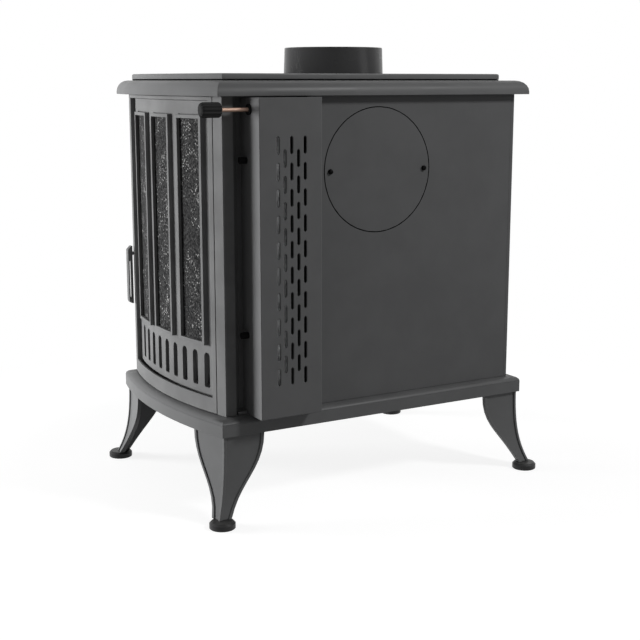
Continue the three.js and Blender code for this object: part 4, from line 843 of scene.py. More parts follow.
def turned(profile: Sequence[tuple[float, float]], sides: int) -> Solid:
    """A closed solid turned about Z.

    Args:
        profile: (radius, z) from the bottom's middle to the top's middle.
        sides: Faces round the axis.

    Returns:
        Its vertices and its faces, facing outwards.
    """
    points: list[Point] = []
    rings: list[range] = []
    for radius, z in profile:
        start = len(points)
        angles = [2 * math.pi * i / sides for i in range(sides)] if radius else [0.0]
        points += [(radius * math.cos(angle), radius * math.sin(angle), z) for angle in angles]
        rings.append(range(start, len(points)))
    faces: list[Face] = []
    for low, high in zip(rings, rings[1:]):
        for i in range(sides):
            j = (i + 1) % sides
            if len(low) == 1:
                faces.append((low[0], high[j], high[i]))
            elif len(high) == 1:
                faces.append((low[i], low[j], high[0]))
            else:
                faces.append((low[i], low[j], high[j], high[i]))
    return points, faces


def joined(parts: Iterable[Solid], name: str) -> bpy.types.Mesh:
    """One mesh of several closed solids.

    Args:
        parts: Vertices and faces of each solid.
        name: The mesh's name.

    Returns:
        The mesh.
    """
    points: list[Point] = []
    faces: list[Face] = []
    for part_points, part_faces in parts:
        start = len(points)
        points += part_points
        faces += [tuple(start + i for i in face) for face in part_faces]
    mesh = bpy.data.meshes.new(name)
    mesh.from_pydata(points, [], faces)
    mesh.update()
    return mesh


def grown(name: str, tree: Tree, values: dict[str, Any],
          seed_mesh: bpy.types.Mesh | None = None) -> bpy.types.Object:
    """Grows a plain mesh piece from a geometry node tree.

    Args:
        name: The piece's name.
        tree: The tree to run.
        values: Values of its named inputs.
        seed_mesh: Mesh that the tree starts from, if it reads one.

    Returns:
        The piece, with no modifier left on it.
    """
    seed = new_object(f"{name}_seed", seed_mesh or bpy.data.meshes.new(f"{name}_seed"))
    modifier = seed.modifiers.new("grow", "NODES")
    modifier.node_group = tree.tree
    for label, value in values.items():
        modifier[tree.identifier(label)] = value
    seed.update_tag()
    depsgraph = bpy.context.evaluated_depsgraph_get()
    mesh = bpy.data.meshes.new_from_object(seed.evaluated_get(depsgraph))
    seed.modifiers.remove(modifier)
    bpy.data.objects.remove(seed)
    mesh.name = name
    return new_object(name, mesh)


def mount(piece: bpy.types.Object, body: str, node: str | None = None) -> bpy.types.Object:
    """Rides a piece on its body and hides the CAD node that it stands for.

    Args:
        piece: The piece.
        body: The body that it moves with.
        node: The CAD node that it stands for, if any.

    Returns:
        The piece.
    """
    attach(piece, body)
    if node:
        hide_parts(node)
    LOG.info("%s: %d faces", piece.name, len(piece.data.polygons))
    return piece


class SharedTree:
    """A geometry node tree that is built once for all its pieces."""

    label = ""
    inputs: dict[str, Kind] = {}
    _made: Tree | None = None

    @classmethod
    def shared(cls) -> Tree:
        """The tree, built when it is first asked for.

        Returns:
            The tree, which puts out Geometry.
        """
        if cls._made is None:
            cls._made = Tree.start(cls.label, "GeometryNodeTree", cls.inputs, {"Geometry": Kind.SHAPE})
            cls.wire(cls._made, cls._made.graph)
        return cls._made

    @staticmethod
    def wire(tree: Tree, g: Graph) -> None:
        """Writes the tree's nodes."""
        raise NotImplementedError


class SoftShading(SharedTree):
    """Merges loose triangles and marks smooth and sharp edges."""

    label = "soft shading"
    inputs = {"Geometry": Kind.SHAPE, "Angle": Kind.NUMBER}
    merge_within = 0.01 * MM

    @staticmethod
    def wire(tree: Tree, g: Graph) -> None:
        """Writes the nodes: edges that turn more than Angle stay sharp.

        Args:
            tree: The tree.
            g: Its graph.
        """
        merged = g.add("GeometryNodeMergeByDistance",
                       {"Geometry": tree.read("Geometry"), "Distance": SoftShading.merge_within})
        smooth = g.add("GeometryNodeSetShadeSmooth", {0: merged.outputs[0], "Shade Smooth": True},
                       domain="FACE")
        turn = g.add("GeometryNodeInputMeshEdgeAngle").outputs["Unsigned Angle"]
        sharp = g.add("FunctionNodeCompare", {0: turn, 1: tree.read("Angle")}, data_type="FLOAT",
                      operation="GREATER_THAN")
        edges = g.add("GeometryNodeSetShadeSmooth",
                      {0: smooth.outputs[0], "Selection": sharp.outputs[0], "Shade Smooth": False},
                      domain="EDGE")
        tree.write("Geometry", edges.outputs[0])


def soften(item: bpy.types.Object, angle: float = 32.0) -> None:
    """Smooths shading across shallow edges and keeps flat faces flat.

    Args:
        item: The piece.
        angle: Edges that turn more than this many degrees stay sharp.
    """
    mod = item.modifiers.new("soft_shading", "NODES")
    tree = SoftShading.shared()
    mod.node_group = tree.tree
    mod[tree.identifier("Angle")] = math.radians(angle)
    weigh = item.modifiers.new("weigh_normals", "WEIGHTED_NORMAL")
    weigh.keep_sharp = True
    weigh.weight = 50


# ------------------------------------------------------------------ fasteners


class HeadForm(Enum):
    """Kinds of fastener on the stove."""

    HEX_BOLT = "hexagon bolt with washer"
    DOME_SCREW = "domed screw with a recess"
    STUD_NUT = "stud with a nut and washer"
    FLAT_BOLT = "low round bolt with a socket"


class Facing(Enum):
    """Direction that a head points in, as Euler angles that turn +Z to it."""

    UP = (0.0, 0.0, 0.0)
    DOWN = (math.pi, 0.0, 0.0)
    REAR = (-math.pi / 2, 0.0, 0.0)
    RIGHT = (0.0, math.pi / 2, 0.0)
    LEFT = (0.0, -math.pi / 2, 0.0)


@dataclass(frozen=True)
class Head:
    """One fastener's own shape, seat at z 0 and head upwards."""

    form: HeadForm
    radius: float
    height: float
    shank: float
    length: float

    def mesh(self) -> bpy.types.Mesh:
        """Builds the fastener.

        Returns:
            A mesh of closed solids.
        """
        shank = turned([(0.0, -self.length), (self.shank * 0.8, -self.length),
                        (self.shank, -self.length + self.shank * 0.3), (self.shank, 0.2 * MM),
                        (0.0, 0.2 * MM)], sides=12)
        maker = {
            HeadForm.HEX_BOLT: self._hex, HeadForm.DOME_SCREW: self._dome,
            HeadForm.STUD_NUT: self._nut, HeadForm.FLAT_BOLT: self._flat,
        }[self.form]
        return joined([shank, *maker()], self.form.name.lower())

    def _hex(self) -> list[Solid]:
        """A hexagon head on a washer.

        Returns:
            The washer and the head.
        """
        r, h = self.radius, self.height
        washer = turned([(0.0, 0.0), (r * 1.25, 0.0), (r * 1.28, h * 0.08), (r * 1.25, h * 0.2),
                         (0.0, h * 0.2)], sides=24)
        head = turned([(0.0, h * 0.22), (r * 0.96, h * 0.22), (r, h * 0.3), (r, h * 0.86), (r * 0.86, h),
                       (0.0, h)], sides=6)
        return [washer, head]

    def _nut(self) -> list[Solid]:
        """A nut on a washer, with the stud's end beyond it."""
        r, h = self.shank, self.height
        return [*self._hex(), turned([(0.0, h * 0.9), (r, h * 0.9), (r, h * 1.5), (r * 0.7, h * 1.7),
                                      (0.0, h * 1.7)], sides=12)]

    def _dome(self) -> list[Solid]:
        """A domed head with a recess.

        Returns:
            The head.
        """
        r, h = self.radius, self.height
        rise = [(r * math.cos(a), h * 0.3 + h * 0.7 * math.sin(a)) for a in (0.0, 0.35, 0.7, 1.0, 1.2)]
        return [turned([(0.0, 0.0), (r * 0.94, 0.0), (r, h * 0.12), *rise, (r * 0.3, h * 0.97),
                        (r * 0.22, h * 0.55), (0.0, h * 0.5)], sides=20)]

    def _flat(self) -> list[Solid]:
        """A low round head with a socket."""
        r, h = self.radius, self.height
        return [turned([(0.0, 0.0), (r, 0.0), (r, h * 0.75), (r * 0.9, h), (r * 0.52, h), (r * 0.45, h * 0.9),
                        (r * 0.45, h * 0.4), (0.0, h * 0.4)], sides=18)]


class FastenerTree(SharedTree):
    """Sets a fastener on every point, each turned by chance about its axis."""

    label = "fastener row"
    inputs = {"Geometry": Kind.SHAPE, "Pattern": Kind.OBJECT, "Facing": Kind.VECTOR, "Seed": Kind.COUNT,
              "Finish": Kind.MATERIAL}

    @staticmethod
    def wire(tree: Tree, g: Graph) -> None:
        """Writes the nodes.

        Args:
            tree: The tree.
            g: Its graph.
        """
        pattern = g.add("GeometryNodeObjectInfo", {"Object": tree.read("Pattern")})
        points = g.add("GeometryNodeMeshToPoints", {"Mesh": tree.read("Geometry")})
        chance = g.add("FunctionNodeRandomValue", {"Seed": tree.read("Seed"), 2: 0.0, 3: math.tau},
                       data_type="FLOAT")
        spin = g.add("FunctionNodeEulerToRotation", {0: g.point(Z=chance.outputs[1])})
        aim = g.add("FunctionNodeEulerToRotation", {0: tree.read("Facing")})
        turn = g.add("FunctionNodeRotateRotation", {0: aim.outputs[0], 1: spin.outputs[0]},
                     rotation_space="LOCAL")
        placed = g.add("GeometryNodeInstanceOnPoints", {
            "Points": points.outputs[0], "Instance": pattern.outputs["Geometry"], "Rotation": turn.outputs[0],
        })
        tree.dress(placed.outputs[0])


@dataclass(frozen=True)
class FastenerRow:
    """One set of like fasteners on one body."""

    name: str
    head: Head
    facing: Facing
    places: tuple[Point, ...]
    seed: int = 3
    body: str = "body"
    crease: float = 30.0

    def build(self, rack: Rack) -> bpy.types.Object:
        """Grows the set and rides it on its body.

        Args:
            rack: The finishes.

        Returns:
            The piece.
        """
        pattern = new_object(f"{self.name}_pattern", self.head.mesh())
        seeds = bpy.data.meshes.new(f"{self.name}_places")
        seeds.from_pydata(list(self.places), [], [])
        piece = grown(self.name, FastenerTree.shared(), {
            "Pattern": pattern, "Facing": self.facing.value, "Seed": self.seed,
            "Finish": rack.take("fastener_black"),
        }, seeds)
        bpy.data.objects.remove(pattern)
        soften(piece, self.crease)
        return mount(piece, self.body)


# ------------------------------------------------------------------ window screens, seals and cords of painted shade


@dataclass(frozen=True)
class Bow:
    """The door's bowed front: a long arc in plan."""

    radius: float = 638.816 * MM
    centre_y: float = 347.916 * MM

    def y(self, x: float, depth: float = 0.0) -> float:
        """The front line at x, set back by depth."""
        reach = self.radius - depth
        return self.centre_y - math.sqrt(reach * reach - x * x)


class ScreenTree(SharedTree):
    """A bowed screen pressed into small facets: the sheet follows the bow at Depth."""

    label = "pressed screen"
    inputs = {
        **dict.fromkeys(("Middle", "Width", "Low", "Height", "Radius", "Centre", "Depth", "Facet", "Relief"),
                        Kind.NUMBER),
        "Columns": Kind.COUNT, "Rows": Kind.COUNT, "Seed": Kind.NUMBER, "Finish": Kind.MATERIAL,
    }
    facet_share = 0.6
    crumple_share = 0.6

    @staticmethod
    def wire(tree: Tree, g: Graph) -> None:
        """Writes the nodes.

        Args:
            tree: The tree.
            g: Its graph.
        """
        grid = g.add("GeometryNodeMeshGrid", {
            "Size X": tree.read("Width"), "Size Y": tree.read("Height"),
            "Vertices X": tree.read("Columns"), "Vertices Y": tree.read("Rows"),
        })
        flat = g.parts(g.add("GeometryNodeInputPosition").outputs[0])
        x = g.plus(flat["X"], tree.read("Middle"))
        z = g.plus(g.plus(flat["Y"], tree.read("Low")), g.times(tree.read("Height"), 0.5))
        place = g.point(X=x, Y=tree.read("Seed"), Z=z)
        scale = g.over(1.0, tree.read("Facet"))
        facets = g.times(g.cells(place, scale)["Distance"], ScreenTree.facet_share)
        crumple = g.noise(place, g.times(scale, 0.5), detail=3.0, rough=0.6)
        height = g.plus(facets, g.times(crumple, ScreenTree.crumple_share))
        sunk = g.plus(tree.read("Depth"), g.times(height, tree.read("Relief")))
        reach = g.minus(tree.read("Radius"), sunk)
        drop = g.math("SQRT", g.minus(g.times(reach, reach), g.times(x, x)))
        bowed = g.point(X=x, Y=g.minus(tree.read("Centre"), drop), Z=z)
        sheet = g.add("GeometryNodeSetPosition", {"Geometry": grid.outputs["Mesh"], "Position": bowed})
        tree.dress(sheet.outputs[0])


@dataclass(frozen=True)
class WindowScreen:
    """The pressed screen in one window."""

    place: str
    middle: float
    bow: Bow = Bow()
    width: float = 63.4 * MM
    low: float = 265.8 * MM
    high: float = 605.2 * MM
    depth: float = 6.85 * MM
    relief: float = 0.8 * MM
    facet: float = 4.2 * MM
    wall: float = 0.45 * MM
    columns: int = 46
    rows: int = 246

    def build(self, rack: Rack) -> bpy.types.Object:
        """Grows the screen, which stands for its CAD node.

        Args:
            rack: The finishes.

        Returns:
            The piece.
        """
        piece = grown(f"screen_{self.place}", ScreenTree.shared(), {
            "Middle": self.middle, "Width": self.width, "Low": self.low, "Height": self.high - self.low,
            "Radius": self.bow.radius, "Centre": self.bow.centre_y, "Depth": self.depth, "Facet": self.facet,
            "Relief": self.relief, "Columns": self.columns, "Rows": self.rows, "Seed": 1.0 + self.middle * 10,
            "Finish": rack.take("crystal_screen"),
        })
        solid = piece.modifiers.new("wall", "SOLIDIFY")
        solid.thickness = self.wall
        solid.offset = -1.0
        return mount(piece, "door", f"window_screen_{self.place}")


class RopeTree(SharedTree):
    """A laid rope that follows a closed line, pressed flat towards the plane y = Plane."""

    label = "laid rope"
    inputs = {
        "Geometry": Kind.SHAPE, "Radius": Kind.NUMBER, "Lobe": Kind.NUMBER, "Turns": Kind.COUNT,
        "Steps": Kind.COUNT, "Squeeze": Kind.NUMBER, "Plane": Kind.NUMBER, "Finish": Kind.MATERIAL,
    }
    strands = 3
    around = 15

    @staticmethod
    def wire(tree: Tree, g: Graph) -> None:
        """Writes the nodes: the section's strands come round Turns times, each by a strand's share.

        Args:
            tree: The tree.
            g: Its graph.
        """
        line = g.add("GeometryNodeMeshToCurve", {"Mesh": tree.read("Geometry")})
        even = g.add("GeometryNodeResampleCurve", {"Curve": line.outputs[0], "Count": tree.read("Steps")})
        share = g.add("GeometryNodeSplineParameter").outputs["Factor"]
        angle = g.times(g.times(share, tree.read("Turns")), math.tau / RopeTree.strands)
        tilted = g.add("GeometryNodeSetCurveTilt", {"Curve": even.outputs[0], "Tilt": angle})
        ring = g.add("GeometryNodeCurvePrimitiveCircle",
                     {"Resolution": RopeTree.around, "Radius": tree.read("Radius")})
        round_share = g.add("GeometryNodeSplineParameter").outputs["Factor"]
        wave = g.math("COSINE", g.times(round_share, RopeTree.strands * math.tau))
        size = g.plus(1.0, g.times(wave, tree.read("Lobe")))
        lobed = g.scaled(g.add("GeometryNodeInputPosition").outputs[0], size)
        profile = g.add("GeometryNodeSetPosition", {"Geometry": ring.outputs[0], "Position": lobed})
        rope = g.add("GeometryNodeCurveToMesh",
                     {"Curve": tilted.outputs[0], "Profile Curve": profile.outputs[0]})
        spot = g.parts(g.add("GeometryNodeInputPosition").outputs[0])
        off = g.minus(spot["Y"], tree.read("Plane"))
        pressed = g.plus(tree.read("Plane"), g.times(off, tree.read("Squeeze")))
        flat = g.point(X=spot["X"], Y=pressed, Z=spot["Z"])
        tree.dress(g.add("GeometryNodeSetPosition", {0: rope.outputs[0], "Position": flat}).outputs[0])


@dataclass(frozen=True)
class RopeSeal:
    """The rope round the back of the door."""

    left: float = -157.0 * MM
    right: float = 136.0 * MM
    low: float = 176.0 * MM
    high: float = 627.0 * MM
    plane: float = -248.0 * MM
    corner: float = 5.0 * MM
    corner_steps: int = 4
    radius: float = 3.4 * MM
    lobe: float = 0.14
    turns: int = 110
    steps: int = 1300
    squeeze: float = 0.7

    def line(self) -> bpy.types.Mesh:
        """The rope's middle line, a rectangle with small round corners.

        Returns:
            A mesh of one closed loop of edges.
        """
        points: list[Point] = []
        corners = ((self.right, self.low, -90), (self.right, self.high, 0), (self.left, self.high, 90),
                   (self.left, self.low, 180))
        for x, z, start in corners:
            cx = x - math.copysign(self.corner, x - (self.left + self.right) / 2)
            cz = z - math.copysign(self.corner, z - (self.low + self.high) / 2)
            for step in range(self.corner_steps + 1):
                a = math.radians(start + 90 / self.corner_steps * step)
                points.append((cx + self.corner * math.cos(a), self.plane, cz + self.corner * math.sin(a)))
        mesh = bpy.data.meshes.new("seal_line")
        mesh.from_pydata(points, [(i, (i + 1) % len(points)) for i in range(len(points))], [])
        return mesh

    def build(self, rack: Rack) -> bpy.types.Object:
        """Grows the rope, which stands for its CAD node.

        Args:
            rack: The finishes.

        Returns:
            The piece.
        """
        piece = grown("rope_seal", RopeTree.shared(), {
            "Radius": self.radius, "Lobe": self.lobe, "Turns": self.turns, "Steps": self.steps,
            "Squeeze": self.squeeze, "Plane": self.plane, "Finish": rack.take("rope_fibre"),
        }, self.line())
        return mount(piece, "door", "door_gasket")


@dataclass(frozen=True)
class BlackCord:
    """A round black cord or bead of painted shade that closes on itself and stays with the body."""

    around: int = 8
    mitre_limit: float = 0.5
    crease: float = 60.0

    def loop(self, path: Sequence[Vector], across: Vector, radius: float) -> Solid:
        """The cord along a flat loop.

        Args:
            path: The loop's points in order.
            across: The unit normal of the loop's plane.
            radius: Half the cord's thickness.

        Returns:
            Its vertices and its faces, facing outwards.
        """
        count, around = len(path), self.around
        points: list[Point] = []
        faces: list[Face] = []
        for i in range(count):
            before = (path[i] - path[i - 1]).normalized()
            after = (path[(i + 1) % count] - path[i]).normalized()
            along = (before + after).normalized()
            side = across.cross(along) / max(self.mitre_limit, along.dot(after))
            for j in range(around):
                tilt = math.tau * j / around
                points.append(tuple(path[i] + (side * math.cos(tilt) + across * math.sin(tilt)) * radius))
                ahead, beside = ((i + 1) % count) * around, (j + 1) % around
                faces.append((i * around + j, i * around + beside, ahead + beside, ahead + j))
        return points, faces

    def lay(self, name: str, solid: Solid, rack: Rack) -> bpy.types.Object:
        """Makes the piece and rides it on the body.

        Args:
            name: The piece's name.
            solid: Its vertices and faces.
            rack: The finishes.

        Returns:
            The piece.
        """
        piece = new_object(name, joined([solid], name))
        piece.data.materials.append(rack.take("seal_black"))
        soften(piece, self.crease)
        return mount(piece, "body")


@dataclass(frozen=True)
class CoverShadeCord(BlackCord):
    """A black cord of painted shade that darkens the gap round a side cover."""

    side: str = "right"
    sign: int = 1
    radius: float = 96.5 * MM
    cord: float = 0.95 * MM
    face_x: float = 181.0 * MM
    sunk: float = 0.45 * MM
    centre_z: float = 522.0 * MM
    steps: int = 144

    def build(self, rack: Rack) -> bpy.types.Object:
        """Lays the cord as a thin closed ring.

        Args:
            rack: The finishes.

        Returns:
            The piece.
        """
        x = self.sign * (self.face_x - self.sunk)
        turns = [math.tau * i / self.steps for i in range(self.steps)]
        path = [Vector((x, self.radius * math.cos(turn), self.centre_z + self.radius * math.sin(turn)))
                for turn in turns]
        return self.lay(f"cover_seal_{self.side}", self.loop(path, Vector(ALONG_X), self.cord), rack)


@dataclass(frozen=True)
class SlabShadeBead(BlackCord):
    """A black bead of painted shade that darkens the undercut below the raised top slab."""

    half: float = 172.0 * MM
    rear: float = 239.5 * MM
    bow_radius: float = 756.83 * MM
    bow_centre: float = 475.83 * MM
    seat: float = 658.05 * MM
    bead: float = 1.05 * MM
    steps: int = 32

    def build(self, rack: Rack) -> bpy.types.Object:
        """Lays the bead along the slab's outline.

        Args:
            rack: The finishes.

        Returns:
            The piece.
        """
        half, reach = self.half - self.bead, self.bow_radius - self.bead
        height = self.seat + self.bead
        path = []
        for i in range(self.steps + 1):
            x = half * (2.0 * i / self.steps - 1.0)
            path.append(Vector((x, self.bow_centre - math.sqrt(reach * reach - x * x), height)))
        path += [Vector((sign * half, self.rear - self.bead, height)) for sign in (1, -1)]
        return self.lay("slab_seal", self.loop(path, Vector(ALONG_Z), self.bead), rack)


# ------------------------------------------------------------------ sub-assemblies


@dataclass
class Assembly:
    """A part of the stove: CAD nodes with their finishes, and fasteners, whose places are in millimetres."""

    finishes: dict[str, tuple[str, ...]] = field(default_factory=dict)
    rows: tuple[FastenerRow, ...] = ()
    smooth_angle: float = 32.0

    def dress(self, nodes: dict[str, bpy.types.Object], rack: Rack) -> None:
        """Gives every CAD node of this part its finish.

        Args:
            nodes: The frame's CAD nodes by name.
            rack: The finishes.
        """
        for finish, names in self.finishes.items():
            for name in names:
                node = nodes[name]
                material = rack.take(finish)
                if not node.material_slots:
                    node.data.materials.append(material)
                for place in node.material_slots:
                    place.material = material
                soften(node, self.smooth_angle)
                LOG.info("%s: %s", name, finish)

    def extras(self) -> tuple[Any, ...]:
        """What this part adds beside its fasteners."""
        return ()

    def build(self, nodes: dict[str, bpy.types.Object], rack: Rack) -> None:
        """Dresses the nodes and adds the fasteners and the part's own extras.

        Args:
            nodes: The frame's CAD nodes by name.
            rack: The finishes.
        """
        self.dress(nodes, rack)
        for item in (*self.rows, *self.extras()):
            item.build(rack)


CORNERS = ("front_right", "front_left", "rear_right", "rear_left")
SIDES = {"right": 1, "left": -1}  # and the sign of X there
LEVELS = ("lower", "upper")
WINDOWS = {"left": -93.0 * MM, "middle": 0.0, "right": 93.0 * MM}  # and the middle of each in X


def each(stem: str, ends: Iterable[str] = SIDES) -> tuple[str, ...]:
    """A node's name with each of several ends, the two sides if none are given."""
    return tuple(f"{stem}_{end}" for end in ends)


@dataclass
class Stand(Assembly):
    """Base casting, legs and feet."""

    leg_corners: tuple[Pair, ...] = ((191.0, -276.0), (-191.0, -276.0), (191.0, 280.5), (-191.0, 280.5))
    bolt_offsets: Pair = (20.0, 38.0)
    flange_z: float = 127.7
    stud_places: tuple[Pair, ...] = ((160.0, 25.0), (160.0, 60.0), (-160.0, 25.0), (-160.0, 60.0))
    deck_underside: float = 153.0
    bolt: Head = Head(HeadForm.HEX_BOLT, 5.4 * MM, 5.0 * MM, 2.9 * MM, 18 * MM)
    stud: Head = Head(HeadForm.STUD_NUT, 7.0 * MM, 16.0 * MM, 3.9 * MM, 9 * MM)

    def __post_init__(self) -> None:
        """Lists the nodes and works out where the fasteners stand."""
        self.finishes = {
            "casting_paint": ("base_frame", "deck_plate", "bottom_plate", *each("leg", CORNERS)),
            "foot_black": each("foot_pad", CORNERS),
        }
        near, far = self.bolt_offsets
        bolts = []
        for x, y in self.leg_corners:
            sx, sy = math.copysign(1, x), math.copysign(1, y)
            bolts += [at(x - sx * a, y - sy * b, self.flange_z) for a, b in ((near, far), (far, near))]
        studs = tuple(at(x, y, self.deck_underside) for x, y in self.stud_places)
        self.rows = (FastenerRow("leg_bolts", self.bolt, Facing.DOWN, tuple(bolts)),
                     FastenerRow("deck_studs", self.stud, Facing.DOWN, studs, seed=8))


@dataclass
class Crown(Assembly):
    """The two top slabs, a black bead of painted shade between them and the flue collar."""

    bolt_circle: float = 70.5
    bolt_turns: tuple[float, ...] = (90, 210, 330)
    flue_y: float = 27.0
    seat_z: float = 674.7
    bolt: Head = Head(HeadForm.FLAT_BOLT, 4.2 * MM, 3.2 * MM, 2.8 * MM, 24 * MM)

    def __post_init__(self) -> None:
        """Lists the nodes and works out where the collar's bolts stand."""
        self.finishes = {"casting_paint": ("top_plate", "raised_top_plate"), "collar_paint": ("flue_collar",)}
        places = []
        for angle in map(math.radians, self.bolt_turns):
            x, y = self.bolt_circle * math.cos(angle), self.bolt_circle * math.sin(angle)
            places.append(at(x, self.flue_y + y, self.seat_z))
        self.rows = (FastenerRow("collar_bolts", self.bolt, Facing.UP, tuple(places), seed=5),)

    def extras(self) -> tuple[Any, ...]:
        """The black bead of painted shade under the raised slab."""
        return (SlabShadeBead(),)


@dataclass
class Shell(Assembly):
    """Firebox walls, side panels with their covers, back and hinge post."""

    cover_screw_y: float = 86.0
    cover_z: float = 522.0
    panel_x: float = 181.0
    back_y: float = 265.6
    back_screw_x: float = 161.0
    back_screw_zs: tuple[float, ...] = (179.0, 325.333, 471.667, 618.0)
    cover_screw: Head = Head(HeadForm.DOME_SCREW, 4.0 * MM, 5.2 * MM, 1.9 * MM, 7 * MM)
    back_screw: Head = Head(HeadForm.DOME_SCREW, 4.2 * MM, 2.6 * MM, 1.9 * MM, 9 * MM)

    def __post_init__(self) -> None:
        """Lists the nodes and the screws."""
        self.finishes = {
            "panel_paint": (*each("side_panel"), *each("side_cover"), "back_panel"),
            "casting_paint": (*each("firebox_wall"), "firebox_front_plate"),
            "door_paint": ("front_post_right",),
        }
        rows = []
        for side, sign in SIDES.items():
            places = tuple(at(sign * self.panel_x, y, self.cover_z)
                           for y in (-self.cover_screw_y, self.cover_screw_y))
            facing = Facing[side.upper()]
            rows.append(FastenerRow(f"cover_screws_{side}", self.cover_screw, facing, places, seed=11))
        back = tuple(at(sign * self.back_screw_x, self.back_y, z)
                     for z in self.back_screw_zs for sign in (-1, 1))
        self.rows = (*rows, FastenerRow("back_screws", self.back_screw, Facing.REAR, back, seed=17))

    def extras(self) -> tuple[Any, ...]:
        """The black cords of painted shade round the covers."""
        return tuple(CoverShadeCord(side=side, sign=sign) for side, sign in SIDES.items())


@dataclass
class Fairings(Assembly):
    """The slotted sheet channels beside the door and their bolts."""

    def __post_init__(self) -> None:
        """Lists the nodes."""
        bolts = tuple(name for side in SIDES for name in each(f"fairing_bolt_{side}", LEVELS))
        self.finishes = {"sheet_paint": each("fairing"), "fastener_black": bolts}


@dataclass
class AirControl(Assembly):
    """Duct, slide, rod, bush and knob."""

    smooth_angle: float = 26.0

    def __post_init__(self) -> None:
        """Lists the nodes."""
        self.finishes = {
            "zinc_sheet": ("air_duct", "air_duct_cap"),
            "bright_steel": ("air_slide",),
            "copper_rod": ("air_rod",),
            "knob_black": ("air_knob",),
            "fastener_black": ("rod_bush",),
        }


@dataclass
class Door(Assembly):
    """The bowed door with its windows, glass and seal."""

    bow: Bow = Bow()
    bar_screw_x: float = 46.5
    bar_screw_zs: Pair = (268.0, 603.0)
    bar_back: float = 17.3
    bar_screw: Head = Head(HeadForm.DOME_SCREW, 4.0 * MM, 2.4 * MM, 1.9 * MM, 6 * MM)

    def __post_init__(self) -> None:
        """Lists the nodes and the screws of the glass bars."""
        self.finishes = {
            "door_paint": ("door_leaf",),
            "stove_glass": each("window_glass", WINDOWS),
            "bright_steel": each("glass_bar", LEVELS),
        }
        x, back = self.bar_screw_x * MM, self.bar_back * MM
        places = tuple((sign * x, self.bow.y(x, back), z * MM) for z in self.bar_screw_zs for sign in (-1, 1))
        self.rows = (FastenerRow("bar_screws", self.bar_screw, Facing.REAR, places, seed=23, body="door"),)

    def extras(self) -> tuple[Any, ...]:
        """The screens and the rope."""
        return (*(WindowScreen(place, middle, self.bow) for place, middle in WINDOWS.items()), RopeSeal())


@dataclass
class Latch(Assembly):
    """Hinge pins, handle, spindle, cam and keeper."""

    def __post_init__(self) -> None:
        """Lists the nodes."""
        self.finishes = {
            "door_paint": ("door_handle",),
            "pin_steel": ("hinge_pin_upper", "hinge_pin_lower"),
            "bright_steel": ("handle_spindle", "latch_cam", "latch_keeper"),
        }


@dataclass
class Fire(Assembly):
    """Grate, bricks, baffle, log retainer and ash pan."""

    def __post_init__(self) -> None:
        """Lists the nodes."""
        self.finishes = {
            "raw_iron": ("grate", "baffle_plate", "log_retainer", *each("grate_rail")),
            "firebrick": (*each("firebrick"), "firebrick_back"),
            "pan_black": ("ash_pan",),
        }


# ------------------------------------------------------------------ studio


@dataclass(frozen=True)
class SoftLamp:
    """One soft square lamp aimed at the stove."""

    name: str
    at: Point
    watts: float
    size: float
    in_gloss: bool = True
    aim: Point = (0.0, 0.0, 0.36)

    def place(self) -> None:
        """Adds the lamp."""
        lamp = bpy.data.lights.new(self.name, "AREA")
        lamp.shape = "SQUARE"
        lamp.size = self.size
        lamp.energy = self.watts
        item = bpy.data.objects.new(self.name, lamp)
        item.visible_glossy = self.in_gloss
        item.location = self.at
        item.rotation_euler = (Vector(self.aim) - Vector(self.at)).to_track_quat("-Z", "Y").to_euler()
        bpy.context.scene.collection.objects.link(item)


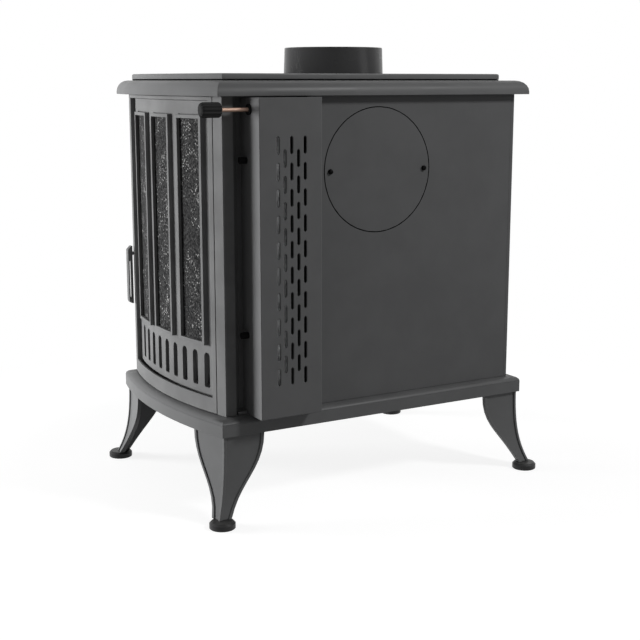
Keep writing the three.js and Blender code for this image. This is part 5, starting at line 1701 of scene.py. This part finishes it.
@dataclass
class Studio:
    """Camera, floor, world and lamps."""

    camera_at: Point = (1.7797, -1.0383, 0.6579)
    camera_turn: Point = (math.radians(78.9), 0.0, math.radians(59.7))
    lens: float = 68.65
    sensor: float = 36.0
    ambient: float = 0.125
    floor_half: float = 14.0
    floor_white: float = 0.3
    floor_glow: float = 0.84
    floor_roughness: float = 0.9
    floor_shine: float = 0.1
    fade: Pair = (0.45, 1.0)
    lamps: tuple[SoftLamp, ...] = (
        SoftLamp("key", (-2.1, -3.25, 0.45), 292.0, 1.5, in_gloss=False),
        SoftLamp("rear_fill", (3.3, 3.1, 0.85), 14.0, 1.6),
        SoftLamp("high_side", (1.75, 1.1, 1.9), 24.0, 0.4),
    )

    def camera(self) -> None:
        """Adds the photograph's camera."""
        data = bpy.data.cameras.new("photo_camera")
        data.lens = self.lens
        data.sensor_width = self.sensor
        item = bpy.data.objects.new("photo_camera", data)
        item.location = self.camera_at
        item.rotation_euler = self.camera_turn
        bpy.context.scene.collection.objects.link(item)
        bpy.context.scene.camera = item

    def world(self) -> None:
        """Makes a white world for what is seen and a quiet one for the light."""
        world = bpy.data.worlds.new("studio")
        bpy.context.scene.world = world
        world.use_nodes = True
        g = Graph(world.node_tree)
        path = g.add("ShaderNodeLightPath").outputs
        seen = g.math("ADD", path["Is Camera Ray"], path["Is Glossy Ray"], clamp=True)
        seen = g.math("ADD", seen, path["Is Transmission Ray"], clamp=True)
        sheet = world.node_tree.nodes["Background"]
        g.feed(sheet.inputs["Strength"], g.spread(seen, WHOLE, (self.ambient, 1.0)))
        g.feed(sheet.inputs["Color"], rgba((1.0, 1.0, 1.0)))

    def floor(self) -> None:
        """Adds a pale floor that goes over into white."""
        half = self.floor_half
        mesh = bpy.data.meshes.new("floor")
        mesh.from_pydata([(-half, -half, 0.0), (half, -half, 0.0), (half, half, 0.0), (-half, half, 0.0)], [],
                         [(0, 1, 2, 3)])
        item = new_object("floor", mesh)
        material = bpy.data.materials.new("pale_floor")
        material.use_nodes = True
        g = Graph(material.node_tree)
        shader = material.node_tree.nodes["Principled BSDF"]
        g.feed(shader.inputs["Base Color"], rgba((self.floor_white,) * 3))
        g.feed(shader.inputs["Roughness"], self.floor_roughness)
        g.feed(shader.inputs["Specular IOR Level"], self.floor_shine)
        place = g.add("ShaderNodeTexCoord").outputs["Object"]
        far = g.spread(g.vector("LENGTH", place, output="Value"), self.fade)
        path = g.add("ShaderNodeLightPath").outputs
        seen = g.math("ADD", path["Is Camera Ray"], path["Is Glossy Ray"], clamp=True)
        strength = g.times(seen, g.spread(far, WHOLE, (self.floor_glow, 1.0)))
        glow = g.add("ShaderNodeEmission", {"Strength": strength})
        plain = g.add("ShaderNodeEmission", {"Strength": 1.0})
        lit = g.add("ShaderNodeAddShader", {0: shader.outputs[0], 1: glow.outputs[0]})
        faded = g.add("ShaderNodeMixShader", {0: g.times(far, seen), 1: lit.outputs[0], 2: plain.outputs[0]})
        g.feed(material.node_tree.nodes["Material Output"].inputs["Surface"], faded.outputs[0])
        item.data.materials.append(material)

    def build(self) -> None:
        """Adds everything but the stove and the camera."""
        self.world()
        self.floor()
        for lamp in self.lamps:
            lamp.place()
        bpy.context.scene.view_settings.view_transform = "Standard"


def main() -> None:
    """Builds the stove on its frame, one sub-assembly after another."""
    logging.basicConfig(level=logging.INFO, format="%(name)s %(message)s")
    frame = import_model()
    studio = Studio()
    studio.camera()
    rack = Rack()
    for part in (Stand(), Crown(), Shell(), Fairings(), AirControl(), Door(), Latch(), Fire()):
        part.build(frame["nodes"], rack)
        LOG.info("%s done", type(part).__name__)
    studio.build()


if __name__ == "__main__":
    main()
